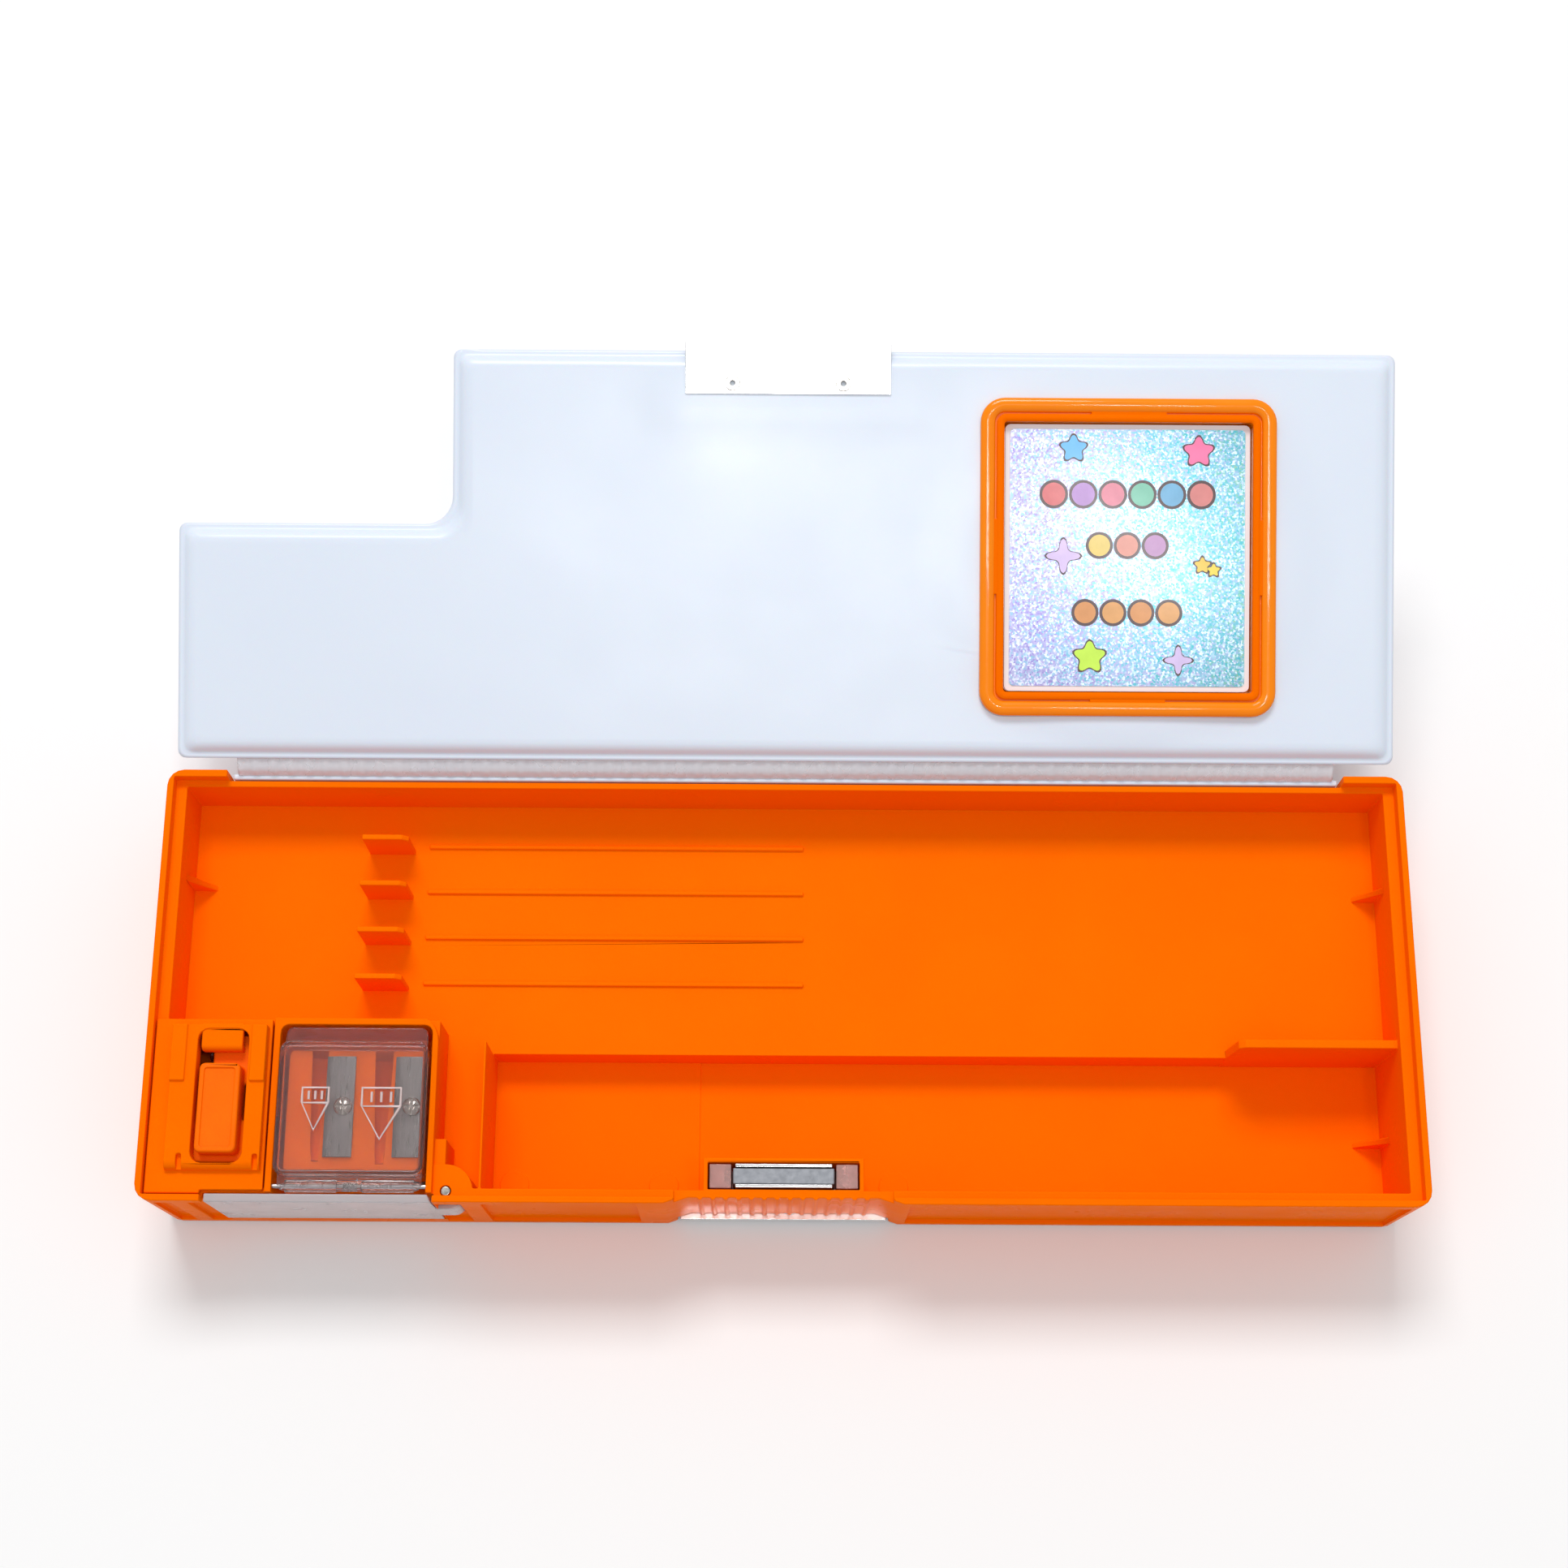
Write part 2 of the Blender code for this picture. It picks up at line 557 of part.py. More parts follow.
def tray_module(tray):
    """The corner that holds the button, the sharpener's well and the drawer."""
    join(tray, block("well_rim", (WELL_LEFT - WALL, MODULE_RIGHT), (WELL_FRONT - 2 * MM, MODULE_BACK),
                     (BACK_FLOOR - 0.5 * MM, MODULE_TOP)))
    boss = [(MODULE_RIGHT - 0.1 * MM, FRONT + PANEL_RECESS), (PIN_X + BOSS_RADIUS, FRONT + PANEL_RECESS)]
    boss += arc((PIN_X, PIN_Y), BOSS_RADIUS, 0, 90, 6)
    boss += [(MODULE_RIGHT - 0.1 * MM, PIN_Y + BOSS_RADIUS)]
    join(
        tray,
        prism("pin_boss", boss, (SHELF_LOW + 0.1 * MM, SHELF_TOP)),
        block("boss_wall", (MODULE_RIGHT - 0.1 * MM, MODULE_RIGHT + 2 * MM), (INNER_FRONT, PIN_Y + 9.4 * MM),
              (BACK_FLOOR - 0.5 * MM, SHELF_TOP - 0.5 * MM)),
    )
    drawer_top = LOWER_ROOF
    room = (PIN_X - DRAWER_ROOM, PIN_X - 2.1 * MM)
    floor = (BACK_FLOOR, RIM_TOP + OVERRUN)
    lever_y = span_about(FRONT + LEVER_PLACE, LEVER_DEPTH + 0.8 * MM)
    pivot_z = BACK_FLOOR + LEVER_LIFT
    mid = (WELL_LEFT + WELL_RIGHT) / 2
    chute_y = (WELL_FRONT + 1.5 * MM, WELL_BACK - 5 * MM)
    chute_z = (drawer_top - FLOOR, BACK_FLOOR + FLOOR)
    well = rounded((WELL_LEFT, WELL_RIGHT), (WELL_FRONT - OVERRUN, WELL_BACK), WELL_CORNER)
    cut(
        tray,
        block("button_room", (INNER_LEFT, WELL_LEFT - WALL), (INNER_FRONT, WELL_BACK), floor),
        prism("sharpener_well", well, floor),
        prism("lid_corner_room", lid_corner_room(), (SHELF_TOP, RIM_TOP + OVERRUN)),
        block("barrel_room", (WELL_LEFT, WELL_RIGHT), (FRONT - OVERRUN, WELL_FRONT + WALL),
              (BARREL_Z - BARREL_RADIUS - CLEARANCE, RIM_TOP + OVERRUN)),
        block("drawer_room", room, (FRONT - OVERRUN, PIN_Y + DRAWER_DEPTH + WALL),
              (FRONT_FLOOR_TOP, drawer_top)),
        block("drawer_mouth", room, (FRONT - OVERRUN, FRONT + DRAWER_FACE + CLEARANCE),
              (FRONT_FLOOR_TOP, RIM_TOP + OVERRUN)),
        block("chute_left", (WELL_LEFT + 1.6 * MM, mid - 2.1 * MM), chute_y, chute_z),
        block("chute_right", (mid + 2.1 * MM, WELL_RIGHT - 1.6 * MM), chute_y, chute_z),
        block("latch_window", (WELL_LEFT - 2 * WALL, WELL_LEFT + WALL), lever_y,
              (pivot_z + LEVER_RISE - 2.2 * MM, pivot_z + LEVER_RISE + 1.6 * MM)),
        prism("pivot_bore", circle((BARREL_Y, BARREL_Z), PIVOT_RADIUS + 0.1 * MM, 12),
              (WELL_LEFT - 0.9 * MM, WELL_RIGHT + 0.8 * MM), axis="X"),
    )
    lug = (DRAWER_LOW + LUG_LOW - CLEARANCE, DRAWER_LOW + LUG_LOW + LUG_HEIGHT + CLEARANCE)
    swing = LUG_RADIUS + CLEARANCE
    cut(
        tray,
        prism("pin_bore", circle((PIN_X, PIN_Y), PIN_RADIUS + 0.1 * MM, 16), (DRAWER_LOW + 1 * MM, RIM_TOP)),
        prism("lug_slot", circle((PIN_X, PIN_Y), swing, 20), lug),
        block("lug_entry", (PIN_X - TANK_PIN_GAP - 1 * MM, PIN_X),
              (FRONT - OVERRUN, PIN_Y + swing - 0.1 * MM), lug),
        block("lug_front", (PIN_X - 1 * MM, PIN_X + swing - 0.1 * MM), (FRONT - OVERRUN, PIN_Y), lug),
    )
    lever_front, lever_back = span_about(FRONT + LEVER_PLACE, LEVER_DEPTH)
    bracket = (lever_front - 1.7 * MM, lever_back + 0.3 * MM)
    for i, y in enumerate(bracket):
        join(tray, block(f"latch_bracket_{i}", span_about(latch_x(), 2.6 * MM), (y, y + 1.4 * MM),
                         (BACK_FLOOR - 0.4 * MM, pivot_z + 1.4 * MM)))
    cut(tray, prism("latch_bore", circle((latch_x(), pivot_z), LEVER_PIN + 0.1 * MM, 12),
                    grown((bracket[0], bracket[1] + 1.4 * MM), 0.5 * MM), axis="Y"))


def lid_corner_room():
    """What is cut off the module's corner so that the lid's rounded inner corner drops past it."""
    x, y = fillet_centre()
    radius = CUTOUT_FILLET - CUTOUT_SIDE
    far = radius + OVERRUN
    return arc((x, y), radius, 0, 90, 6) + [(x, y + far), (x + far, y + far), (x + far, y)]


def latch_x():
    return WELL_LEFT - WALL - LEVER_INSET


def make_tray(orange):
    tray = prism("tray", rounded((LEFT, RIGHT), (FRONT, BACK), CORNER_RADIUS), (RIM_LOW, RIM_TOP), orange)
    tray_cavities(tray)
    tray_ribs(tray)
    tray_module(tray)
    tray_catch(tray)
    tray_panels(tray)
    return tray


# ---------------------------------------------------------------- button and latch


def slot_span():
    left = LEFT + 9.6 * MM
    return left, left + SLOT_LENGTH


def make_button_housing(orange):
    """The plate over the button's room, with a raised block, a slot and a short tongue at its back."""
    plate_y = (FRONT + LIP + CLEARANCE, MODULE_BACK - CLEARANCE)
    z = (SHELF_TOP + CLEARANCE, MODULE_TOP)
    corner = PIN_X - DRAWER_ROOM - CLEARANCE
    right = WELL_LEFT - WALL - CLEARANCE
    front = FRONT + DRAWER_FACE + 2 * CLEARANCE
    outline = [
        (LEFT + LIP + CLEARANCE, plate_y[0]), (corner, plate_y[0]), (corner, front), (right, front),
        (right, plate_y[1]), (LEFT + LIP + CLEARANCE, plate_y[1]),
    ]
    housing = prism("button_housing", outline, z, orange)
    block_x = (right - HOUSING_LENGTH, right)
    block_y = (FRONT + HOUSING_FRONT, FRONT + HOUSING_FRONT + HOUSING_DEPTH)
    top = MODULE_TOP + HOUSING_RISE
    bend = 1.6 * MM
    profile = [(block_y[0], MODULE_TOP - 0.5 * MM), (block_y[1], MODULE_TOP - 0.5 * MM), (block_y[1], top)]
    profile += arc((block_y[0] + bend, top - bend), bend, 90, 180, 4)
    raised = prism("raised_block", profile, (block_x[0], block_x[1] - 0.5 * MM), axis="X")
    slot_x = slot_span()
    slot_y = (FRONT + SLOT_FRONT, FRONT + SLOT_FRONT + SLOT_DEPTH)
    through = (SHELF_TOP - OVERRUN, top + OVERRUN)
    tongue_x = span_about(sum(slot_x) / 2 - 0.3 * MM, TONGUE_LENGTH)
    join(housing, raised)
    cut(housing, prism("slot", rounded(slot_x, slot_y, SLOT_CORNER), through))
    drop = [(slot_y[1] + 1 * MM, top - 1.6 * MM), (slot_y[1] + 1 * MM, top - 0.3 * MM)]
    drop += arc((slot_y[1] - TONGUE_DEPTH + 1 * MM, top - 1.3 * MM), 1 * MM, 90, 180, 4)
    drop += [(slot_y[1] - TONGUE_DEPTH, top - 3 * MM), (slot_y[1] - TONGUE_DEPTH + 1 * MM, top - 3 * MM)]
    drop += [(slot_y[1] - TONGUE_DEPTH + 1 * MM, top - 1.6 * MM)]
    join(housing, prism("tongue", drop, tongue_x, axis="X"))
    rail_y = (slot_y[1] - RAIL_LENGTH, block_y[1])
    rail_z = (top - 0.3 * MM, top + RAIL_RISE)
    join(
        housing,
        block("rail_left", (block_x[0], block_x[0] + RAIL_WIDTH), rail_y, rail_z),
        block("rail_right", (block_x[1] - 0.5 * MM - RAIL_WIDTH, block_x[1] - 0.5 * MM), rail_y, rail_z),
    )
    for i, x in enumerate((slot_x[0] - 2.4 * MM, slot_x[1] + 1.9 * MM)):
        y = (slot_y[0] - 1.6 * MM, slot_y[0] + 1.6 * MM)
        cut(housing, block(f"snap_window_{i}", (x, x + 0.9 * MM), y, (top - 1.2 * MM, top + OVERRUN)))
    return housing


def make_button(orange):
    """A hollow key with a dished top, a flange under the plate and a stem that works the latch."""
    slot_x = slot_span()
    x = span_about(sum(slot_x) / 2 - 0.15 * MM, BUTTON_LENGTH)
    y = (FRONT + BUTTON_FRONT, FRONT + BUTTON_FRONT + BUTTON_DEPTH)
    top = MODULE_TOP + HOUSING_RISE + BUTTON_PROUD
    low = top - BUTTON_BODY
    button = prism("push_button", rounded(x, y, BUTTON_CORNER), (low, top), orange)
    skirt_top = SHELF_TOP
    skirt = (skirt_top - BUTTON_SKIRT, skirt_top)
    lever = span_about(FRONT + LEVER_PLACE, LEVER_DEPTH + 2 * MM)
    back = FRONT + SLOT_FRONT + SLOT_DEPTH - 0.6 * MM
    join(
        button,
        block("skirt_front", grown(x, 1.6 * MM), (y[0] - 1.2 * MM, lever[0]), skirt),
        block("skirt_back", (x[0] + 1.4 * MM, x[1] + 1.6 * MM), (lever[1], back), skirt),
        block("key_stem", span_about(latch_x() - LEVER_ARM, 1.2 * MM), span_about(FRONT + LEVER_PLACE, 2 * MM),
              (BACK_FLOOR + LEVER_LIFT + LEVER_THICK / 2 + 0.4 * MM, low + 2 * MM)),
    )
    cut(
        button,
        prism("dish", rounded(grown(x, -BUTTON_BORDER), grown(y, -BUTTON_BORDER), BUTTON_CORNER / 2, 3),
              (top - BUTTON_DISH, top + OVERRUN)),
        block("key_hollow", grown(x, -WALL), (y[0] + WALL, lever[0]), (low - OVERRUN, top - 2 * WALL)),
        block("key_hollow_back", grown(x, -WALL), (lever[1], y[1] - WALL), (low - OVERRUN, top - 2 * WALL)),
    )
    return button


def make_latch(orange):
    """A bell crank: the button pushes its long arm down and its hook draws out of the well."""
    x, z = latch_x(), BACK_FLOOR + LEVER_LIFT
    half = LEVER_THICK / 2
    nose = WELL_LEFT - 0.2 * MM
    top = z + LEVER_RISE
    outline = [(x - LEVER_ARM - 1.2 * MM, z - half), (x + half, z - half), (x + half, top - 1.4 * MM)]
    outline += [(nose, top - 1.4 * MM), (nose, top - 0.6 * MM), (nose - 0.6 * MM, top), (x - half, top)]
    outline += [(x - half, z + half), (x - LEVER_ARM - 1.2 * MM, z + half)]
    span = span_about(FRONT + LEVER_PLACE, LEVER_DEPTH)
    lever = prism("latch_lever", outline, span, orange, axis="Y")
    join(lever, prism("lever_hub", circle((x, z), LEVER_HUB, 16), span, axis="Y"))
    cut(lever, prism("lever_bore", circle((x, z), LEVER_PIN + 0.1 * MM, 12), grown(span, OVERRUN), axis="Y"))
    return lever


# ---------------------------------------------------------------- sharpener


def hood_x():
    return WELL_LEFT + SHARPENER_GAP, WELL_RIGHT - SHARPENER_GAP


def cone_rows():
    """Each hole's axis, mouth radius, tip radius and length."""
    front, back = body_y()
    depth = back - front
    return [(WELL_LEFT + x * MM, mouth * MM, tip * MM, depth - wall * MM) for x, mouth, tip, wall, _ in CONES]


def blade_spans():
    starts = [WELL_LEFT + (row[0] + row[4]) * MM for row in CONES]
    return [(start, start + BLADE_WIDTH) for start in starts]


def body_y():
    outside = (FRONT + HOOD_FRONT, FRONT + HOOD_FRONT + HOOD_DEPTH)
    return grown(outside, -HOOD_WALL - CLEARANCE)


def blade_y():
    front, back = body_y()
    return front + BLADE_FRONT, back - BLADE_BACK


def screw_places():
    return [(span[1] - SCREW_INSET, sum(blade_y()) / 2) for span in blade_spans()]


def oblique_cone(name, x, back, length, mouth, tip, top):
    """A pencil hole whose upper side runs level, so that it breaks the surface under the blade."""
    shape = bmesh.new()
    sides = 20
    rings = []
    for y, radius in ((back + OVERRUN, mouth), (back, mouth), (back - length, tip)):
        ring = [shape.verts.new((u, y, v)) for u, v in circle((x, top - radius), radius, sides)]
        rings.append(ring)
    for near, far in zip(rings, rings[1:]):
        for i in range(sides):
            j = (i + 1) % sides
            shape.faces.new((near[i], near[j], far[j], far[i]))
    shape.faces.new(rings[0])
    shape.faces.new(rings[-1])
    return object_from(name, shape)


def make_sharpener_body(orange):
    x = grown(hood_x(), -HOOD_WALL - CLEARANCE)
    back = body_y()[1]
    top = MODULE_TOP - BODY_DROP
    low = BACK_FLOOR + SHARPENER_GAP
    corner = HOOD_CORNER - HOOD_WALL - CLEARANCE / 2
    body = prism("sharpener_body", rounded(x, body_y(), corner), (low, top), orange)
    nib_y = span_about(FRONT + LEVER_PLACE, LEVER_DEPTH - 1 * MM)
    nib_z = BACK_FLOOR + LEVER_LIFT + LEVER_RISE - 2.6 * MM
    join(body, block("latch_nib", (x[0] - 1.2 * MM, x[0] + 0.5 * MM), nib_y, (nib_z, nib_z + 0.9 * MM)))
    for i, (centre, mouth, tip, length) in enumerate(cone_rows()):
        cut(body, oblique_cone(f"pencil_hole_{i}", centre, back, length, mouth, tip, top + CONE_BREAK))
    for i, place in enumerate(screw_places()):
        bore = circle(place, SCREW_SHANK + 0.1 * MM, 12)
        cut(body, prism(f"screw_bore_{i}", bore, (top - SCREW_LENGTH, top + OVERRUN)))
    return body


def make_cover(clear):
    """A clear hood over the blades, with a lip at the back and a hinge barrel at the front."""
    x = hood_x()
    y = (FRONT + HOOD_FRONT, FRONT + HOOD_FRONT + HOOD_DEPTH)
    top = MODULE_TOP + HOOD_RISE
    z = (top - HOOD_HEIGHT, top)
    cover = prism("sharpener_cover", rounded(x, y, HOOD_CORNER), z, clear)
    inside = rounded(grown(x, -HOOD_WALL), grown(y, -HOOD_WALL), HOOD_CORNER - HOOD_WALL)
    lip = (BARREL_Z - 0.3 * MM, BARREL_Z - 0.3 * MM + FLANGE_THICK)
    lip_x = grown(x, -0.5 * MM)
    spring_x = span_about(sum(x) / 2, POP_SPRING_ROOM)
    spring_reach = POP_SPRING_RADIUS + POP_SPRING_WIRE + 0.08 * MM
    join(
        cover,
        prism("back_lip", rounded(lip_x, (y[1] - 2 * FLANGE_CORNER, y[1] + FLANGE_DEPTH), FLANGE_CORNER),
              lip),
        prism("front_lip", rounded(lip_x, (BARREL_Y - FRONT_LIP, y[0] + 2 * FLANGE_CORNER), FLANGE_CORNER),
              (BARREL_Z, BARREL_Z + FLANGE_THICK)),
        prism("barrel", circle((BARREL_Y, BARREL_Z), BARREL_RADIUS, 16), grown(lip_x, -FLANGE_CORNER),
              axis="X"),
    )
    cut(
        cover,
        prism("hood_hollow", inside, (z[0] - OVERRUN, top - HOOD_WALL - 0.2 * MM)),
        prism("barrel_bore", circle((BARREL_Y, BARREL_Z), PIVOT_RADIUS + 0.1 * MM, 12), grown(x, OVERRUN),
              axis="X"),
        prism("spring_room", circle((BARREL_Y, BARREL_Z), spring_reach, 16), spring_x, axis="X"),
        block("spring_exit", spring_x, (BARREL_Y - OVERRUN, BARREL_Y + 1.2 * MM),
              (BARREL_Z - OVERRUN, BARREL_Z - 0.42 * MM)),
        block("spring_sweep", spring_x, (BARREL_Y - OVERRUN, BARREL_Y - 0.5 * MM),
              (BARREL_Z - 0.6 * MM, BARREL_Z + 0.3 * MM)),
    )
    return cover


def make_blade(name, index, steel):
    """A flat blade with one ground edge and a screw hole."""
    x = blade_spans()[index]
    low = MODULE_TOP - BODY_DROP + CLEARANCE
    high = low + BLADE_THICK
    outline = [(x[0], low), (x[1], low), (x[1], high), (x[0] + BLADE_EDGE, high), (x[0], low + 0.12 * MM)]
    blade = prism(name, outline, blade_y(), steel, axis="Y")
    cut(blade, prism(f"{name}_hole", circle(screw_places()[index], SCREW_SHANK + 0.2 * MM, 12),
                     (low - OVERRUN, high + OVERRUN)))
    return blade


def make_screw(name, index, steel):
    """A domed head with a cross recess on a plain shank."""
    place = screw_places()[index]
    head = MODULE_TOP - BODY_DROP + CLEARANCE + BLADE_THICK + HEAD_GAP
    shape = bmesh.new()
    tip = MODULE_TOP - BODY_DROP - SCREW_LENGTH + 0.4 * MM
    profile = [(SCREW_SHANK, tip), (SCREW_SHANK, head), (SCREW_HEAD, head), (SCREW_HEAD, head + 0.25 * MM)]
    profile += [(0.7 * SCREW_HEAD, head + 0.8 * SCREW_DOME), (0.25 * SCREW_HEAD, head + SCREW_DOME)]
    sides = 16
    rings = [[shape.verts.new((u, v, z)) for u, v in circle(place, radius, sides)] for radius, z in profile]
    for lower, upper in zip(rings, rings[1:]):
        for i in range(sides):
            j = (i + 1) % sides
            shape.faces.new((lower[i], lower[j], upper[j], upper[i]))
    shape.faces.new(rings[0])
    shape.faces.new(rings[-1])
    screw = object_from(name, shape, steel)
    deep = (head + 0.3 * SCREW_DOME, head + OVERRUN)
    arm = 1.7 * SCREW_HEAD / 2
    for i, (u, v) in enumerate(((arm, SCREW_SLOT / 2), (SCREW_SLOT / 2, arm))):
        slot = block(f"{name}_slot_{i}", (place[0] - u, place[0] + u), (place[1] - v, place[1] + v), deep)
        cut(screw, slot)
    return screw


# ---------------------------------------------------------------- drawer


def make_drawer(clear):
    """A clear shavings tray whose back is round, so that it can swing out on its pin."""
    left, right = PIN_X - DRAWER_REACH, PIN_X - DRAWER_PIN_GAP
    tank_top = LOWER_ROOF - CLEARANCE - 0.1 * MM
    tank_right = PIN_X - TANK_PIN_GAP
    back = PIN_Y + DRAWER_DEPTH

    def tank_outline(inset):
        reach = DRAWER_REACH - inset
        rise = DRAWER_DEPTH - inset
        angle = 180 - degrees(asin(rise / reach))
        front = FRONT + inset
        return [(tank_right - inset, front), (tank_right - inset, back - inset)] + arc(
            (PIN_X, PIN_Y), reach, angle, 180, 10) + [(left + inset, front)]

    drawer = prism("shavings_drawer", tank_outline(0), (DRAWER_LOW, tank_top), clear)
    hollow = (DRAWER_LOW + DRAWER_WALL, tank_top + OVERRUN)
    cut(drawer, prism("tank_hollow", tank_outline(DRAWER_WALL), hollow))
    inner = FRONT + DRAWER_FACE
    face = [(left, FRONT), (right, FRONT), (right - 0.7 * MM, inner), (left, inner)]
    lug = (DRAWER_LOW + LUG_LOW, DRAWER_LOW + LUG_LOW + LUG_HEIGHT)
    join(
        drawer,
        prism("drawer_face", face, (DRAWER_LOW, MODULE_TOP - 0.2 * MM)),
        prism("lug", circle((PIN_X, PIN_Y), LUG_RADIUS, 20), lug),
        block("lug_arm", (tank_right - DRAWER_WALL / 2, PIN_X), (FRONT, PIN_Y + 1.5 * MM), lug),
    )
    cut(drawer, prism("lug_bore", circle((PIN_X, PIN_Y), PIN_RADIUS + 0.15 * MM, 16), grown(lug, OVERRUN)))
    return drawer


# ---------------------------------------------------------------- lid and flap


def fillet_centre():
    """The middle of the lid's rounded inner corner."""
    return MODULE_RIGHT + CUTOUT_SIDE - CUTOUT_FILLET, MODULE_BACK + CUTOUT_BACK - CUTOUT_FILLET


def lid_outline(inset):
    """The lid's shape, with the corner over the module left out and its inner corner rounded."""
    left, right = PANEL_LEFT + inset, PANEL_RIGHT - inset
    front, back = PANEL_FRONT + inset, PANEL_BACK - inset
    cut_x = MODULE_RIGHT + CUTOUT_SIDE + inset
    cut_y = MODULE_BACK + CUTOUT_BACK + inset
    r = PANEL_CORNER
    points = arc((right - r, back - r), r, 0, 90, 3) + arc((left + r, back - r), r, 90, 180, 3)
    points += arc((left + r, cut_y + r), r, 180, 270, 3)
    points += arc((cut_x - CUTOUT_FILLET, cut_y - CUTOUT_FILLET), CUTOUT_FILLET, 90, 0, 5)
    points += arc((cut_x + r, front + r), r, 180, 270, 3) + arc((right - r, front + r), r, 270, 360, 3)
    return points


def flap_outline(inset):
    x = (PANEL_LEFT + inset, PANEL_RIGHT - inset)
    return rounded(x, (PANEL_FRONT + inset, PANEL_BACK - inset), PANEL_CORNER, 3)


def rivet_places():
    y = PLATE_FREE + RIVET_INSET
    return [(-RIVET_SPACING / 2, y), (RIVET_SPACING / 2, y)]


def make_panel(name, outline, face, out, vinyl, cardboard):
    """Inner skin, board and outer skin. The face is the inner surface, and out is +1 or -1 along Z."""
    levels = [face, face + out * SKIN]
    levels += [levels[-1] + out * LAYER_GAP, levels[-1] + out * (LAYER_GAP + BOARD)]
    levels += [levels[-1] + out * LAYER_GAP, levels[-1] + out * (LAYER_GAP + SKIN)]
    inner = prism(f"{name}_inner_skin", outline(0), sorted(levels[0:2]), vinyl)
    board = prism(f"{name}_board", outline(BOARD_INSET), sorted(levels[2:4]), cardboard)
    outer = prism(f"{name}_outer_skin", outline(0), sorted(levels[4:6]), vinyl)
    for i, place in enumerate(rivet_places()):
        bore = prism(f"{name}_skin_hole_{i}", circle(place, RIVET_RADIUS + 0.2 * MM, 12),
                     sorted((face - out * OVERRUN, face + out * (SKIN + LAYER_GAP / 2))))
        pocket = prism(f"{name}_board_hole_{i}", circle(place, RIVET_HEAD_RADIUS + CLEARANCE, 12),
                       sorted((face - out * OVERRUN, face + out * PANEL * 0.6)))
        cut(inner, bore)
        cut(board, pocket)
    return inner, board, outer


def make_plate(name, face, out, steel):
    """A steel catch plate with its front edge bent up round the panel."""
    near = face - out * PLATE_GAP
    far = near - out * PLATE_THICK
    lip = near + out * PLATE_LIP
    front, back = PLATE_FREE, PLATE_FREE + PLATE_DEPTH
    bent = front + PLATE_THICK
    profile = [(front, far), (back, far), (back, near), (bent, near), (bent, lip), (front, lip)]
    plate = prism(name, profile, span_about(0, PLATE_LENGTH), steel, axis="X")
    through = sorted((near + out * OVERRUN, far - out * OVERRUN))
    for i, place in enumerate(rivet_places()):
        cut(plate, prism(f"{name}_hole_{i}", circle(place, RIVET_RADIUS + 0.2 * MM, 12), through))
    return plate


def make_rivet(name, place, face, out, steel):
    """A hollow eyelet: a tube with a flange over the plate and one behind the inner skin."""
    start = face - out * (PLATE_GAP + PLATE_THICK + HEAD_GAP)
    end = face + out * (SKIN + HEAD_GAP)
    stations = [
        (RIVET_BORE, start - out * RIVET_HEAD), (RIVET_HEAD_RADIUS - 0.1 * MM, start - out * RIVET_HEAD),
        (RIVET_HEAD_RADIUS, start), (RIVET_RADIUS, start), (RIVET_RADIUS, end),
        (RIVET_HEAD_RADIUS, end), (RIVET_HEAD_RADIUS, end + out * RIVET_HEAD),
        (RIVET_BORE, end + out * RIVET_HEAD),
    ]
    shape = bmesh.new()
    sides = 16
    rings = [[shape.verts.new((u, v, z)) for u, v in circle(place, radius, sides)] for radius, z in stations]
    for lower, upper in zip(rings, rings[1:] + rings[:1]):
        for i in range(sides):
            j = (i + 1) % sides
            shape.faces.new((lower[i], lower[j], upper[j], upper[i]))
    return object_from(name, shape, steel)


def badge_spans(inset):
    right = PANEL_RIGHT - BADGE_EDGE - inset
    left = PANEL_RIGHT - BADGE_EDGE - BADGE_WIDTH + inset
    return (left, right), (PANEL_FRONT + BADGE_MARGIN + inset, PANEL_BACK - BADGE_MARGIN - inset)


def frame_ring(name, outer, inner, span, corner, material=None):
    """A flat ring between two rounded rectangles, each given as an inset from the badge's edge."""
    ring = prism(name, rounded(*badge_spans(outer), max(corner - outer, 0.8 * MM)), span, material)
    hole = rounded(*badge_spans(inner), max(corner - inner, 0.8 * MM))
    cut(ring, prism(f"{name}_opening", hole, grown(span, OVERRUN)))
    return ring


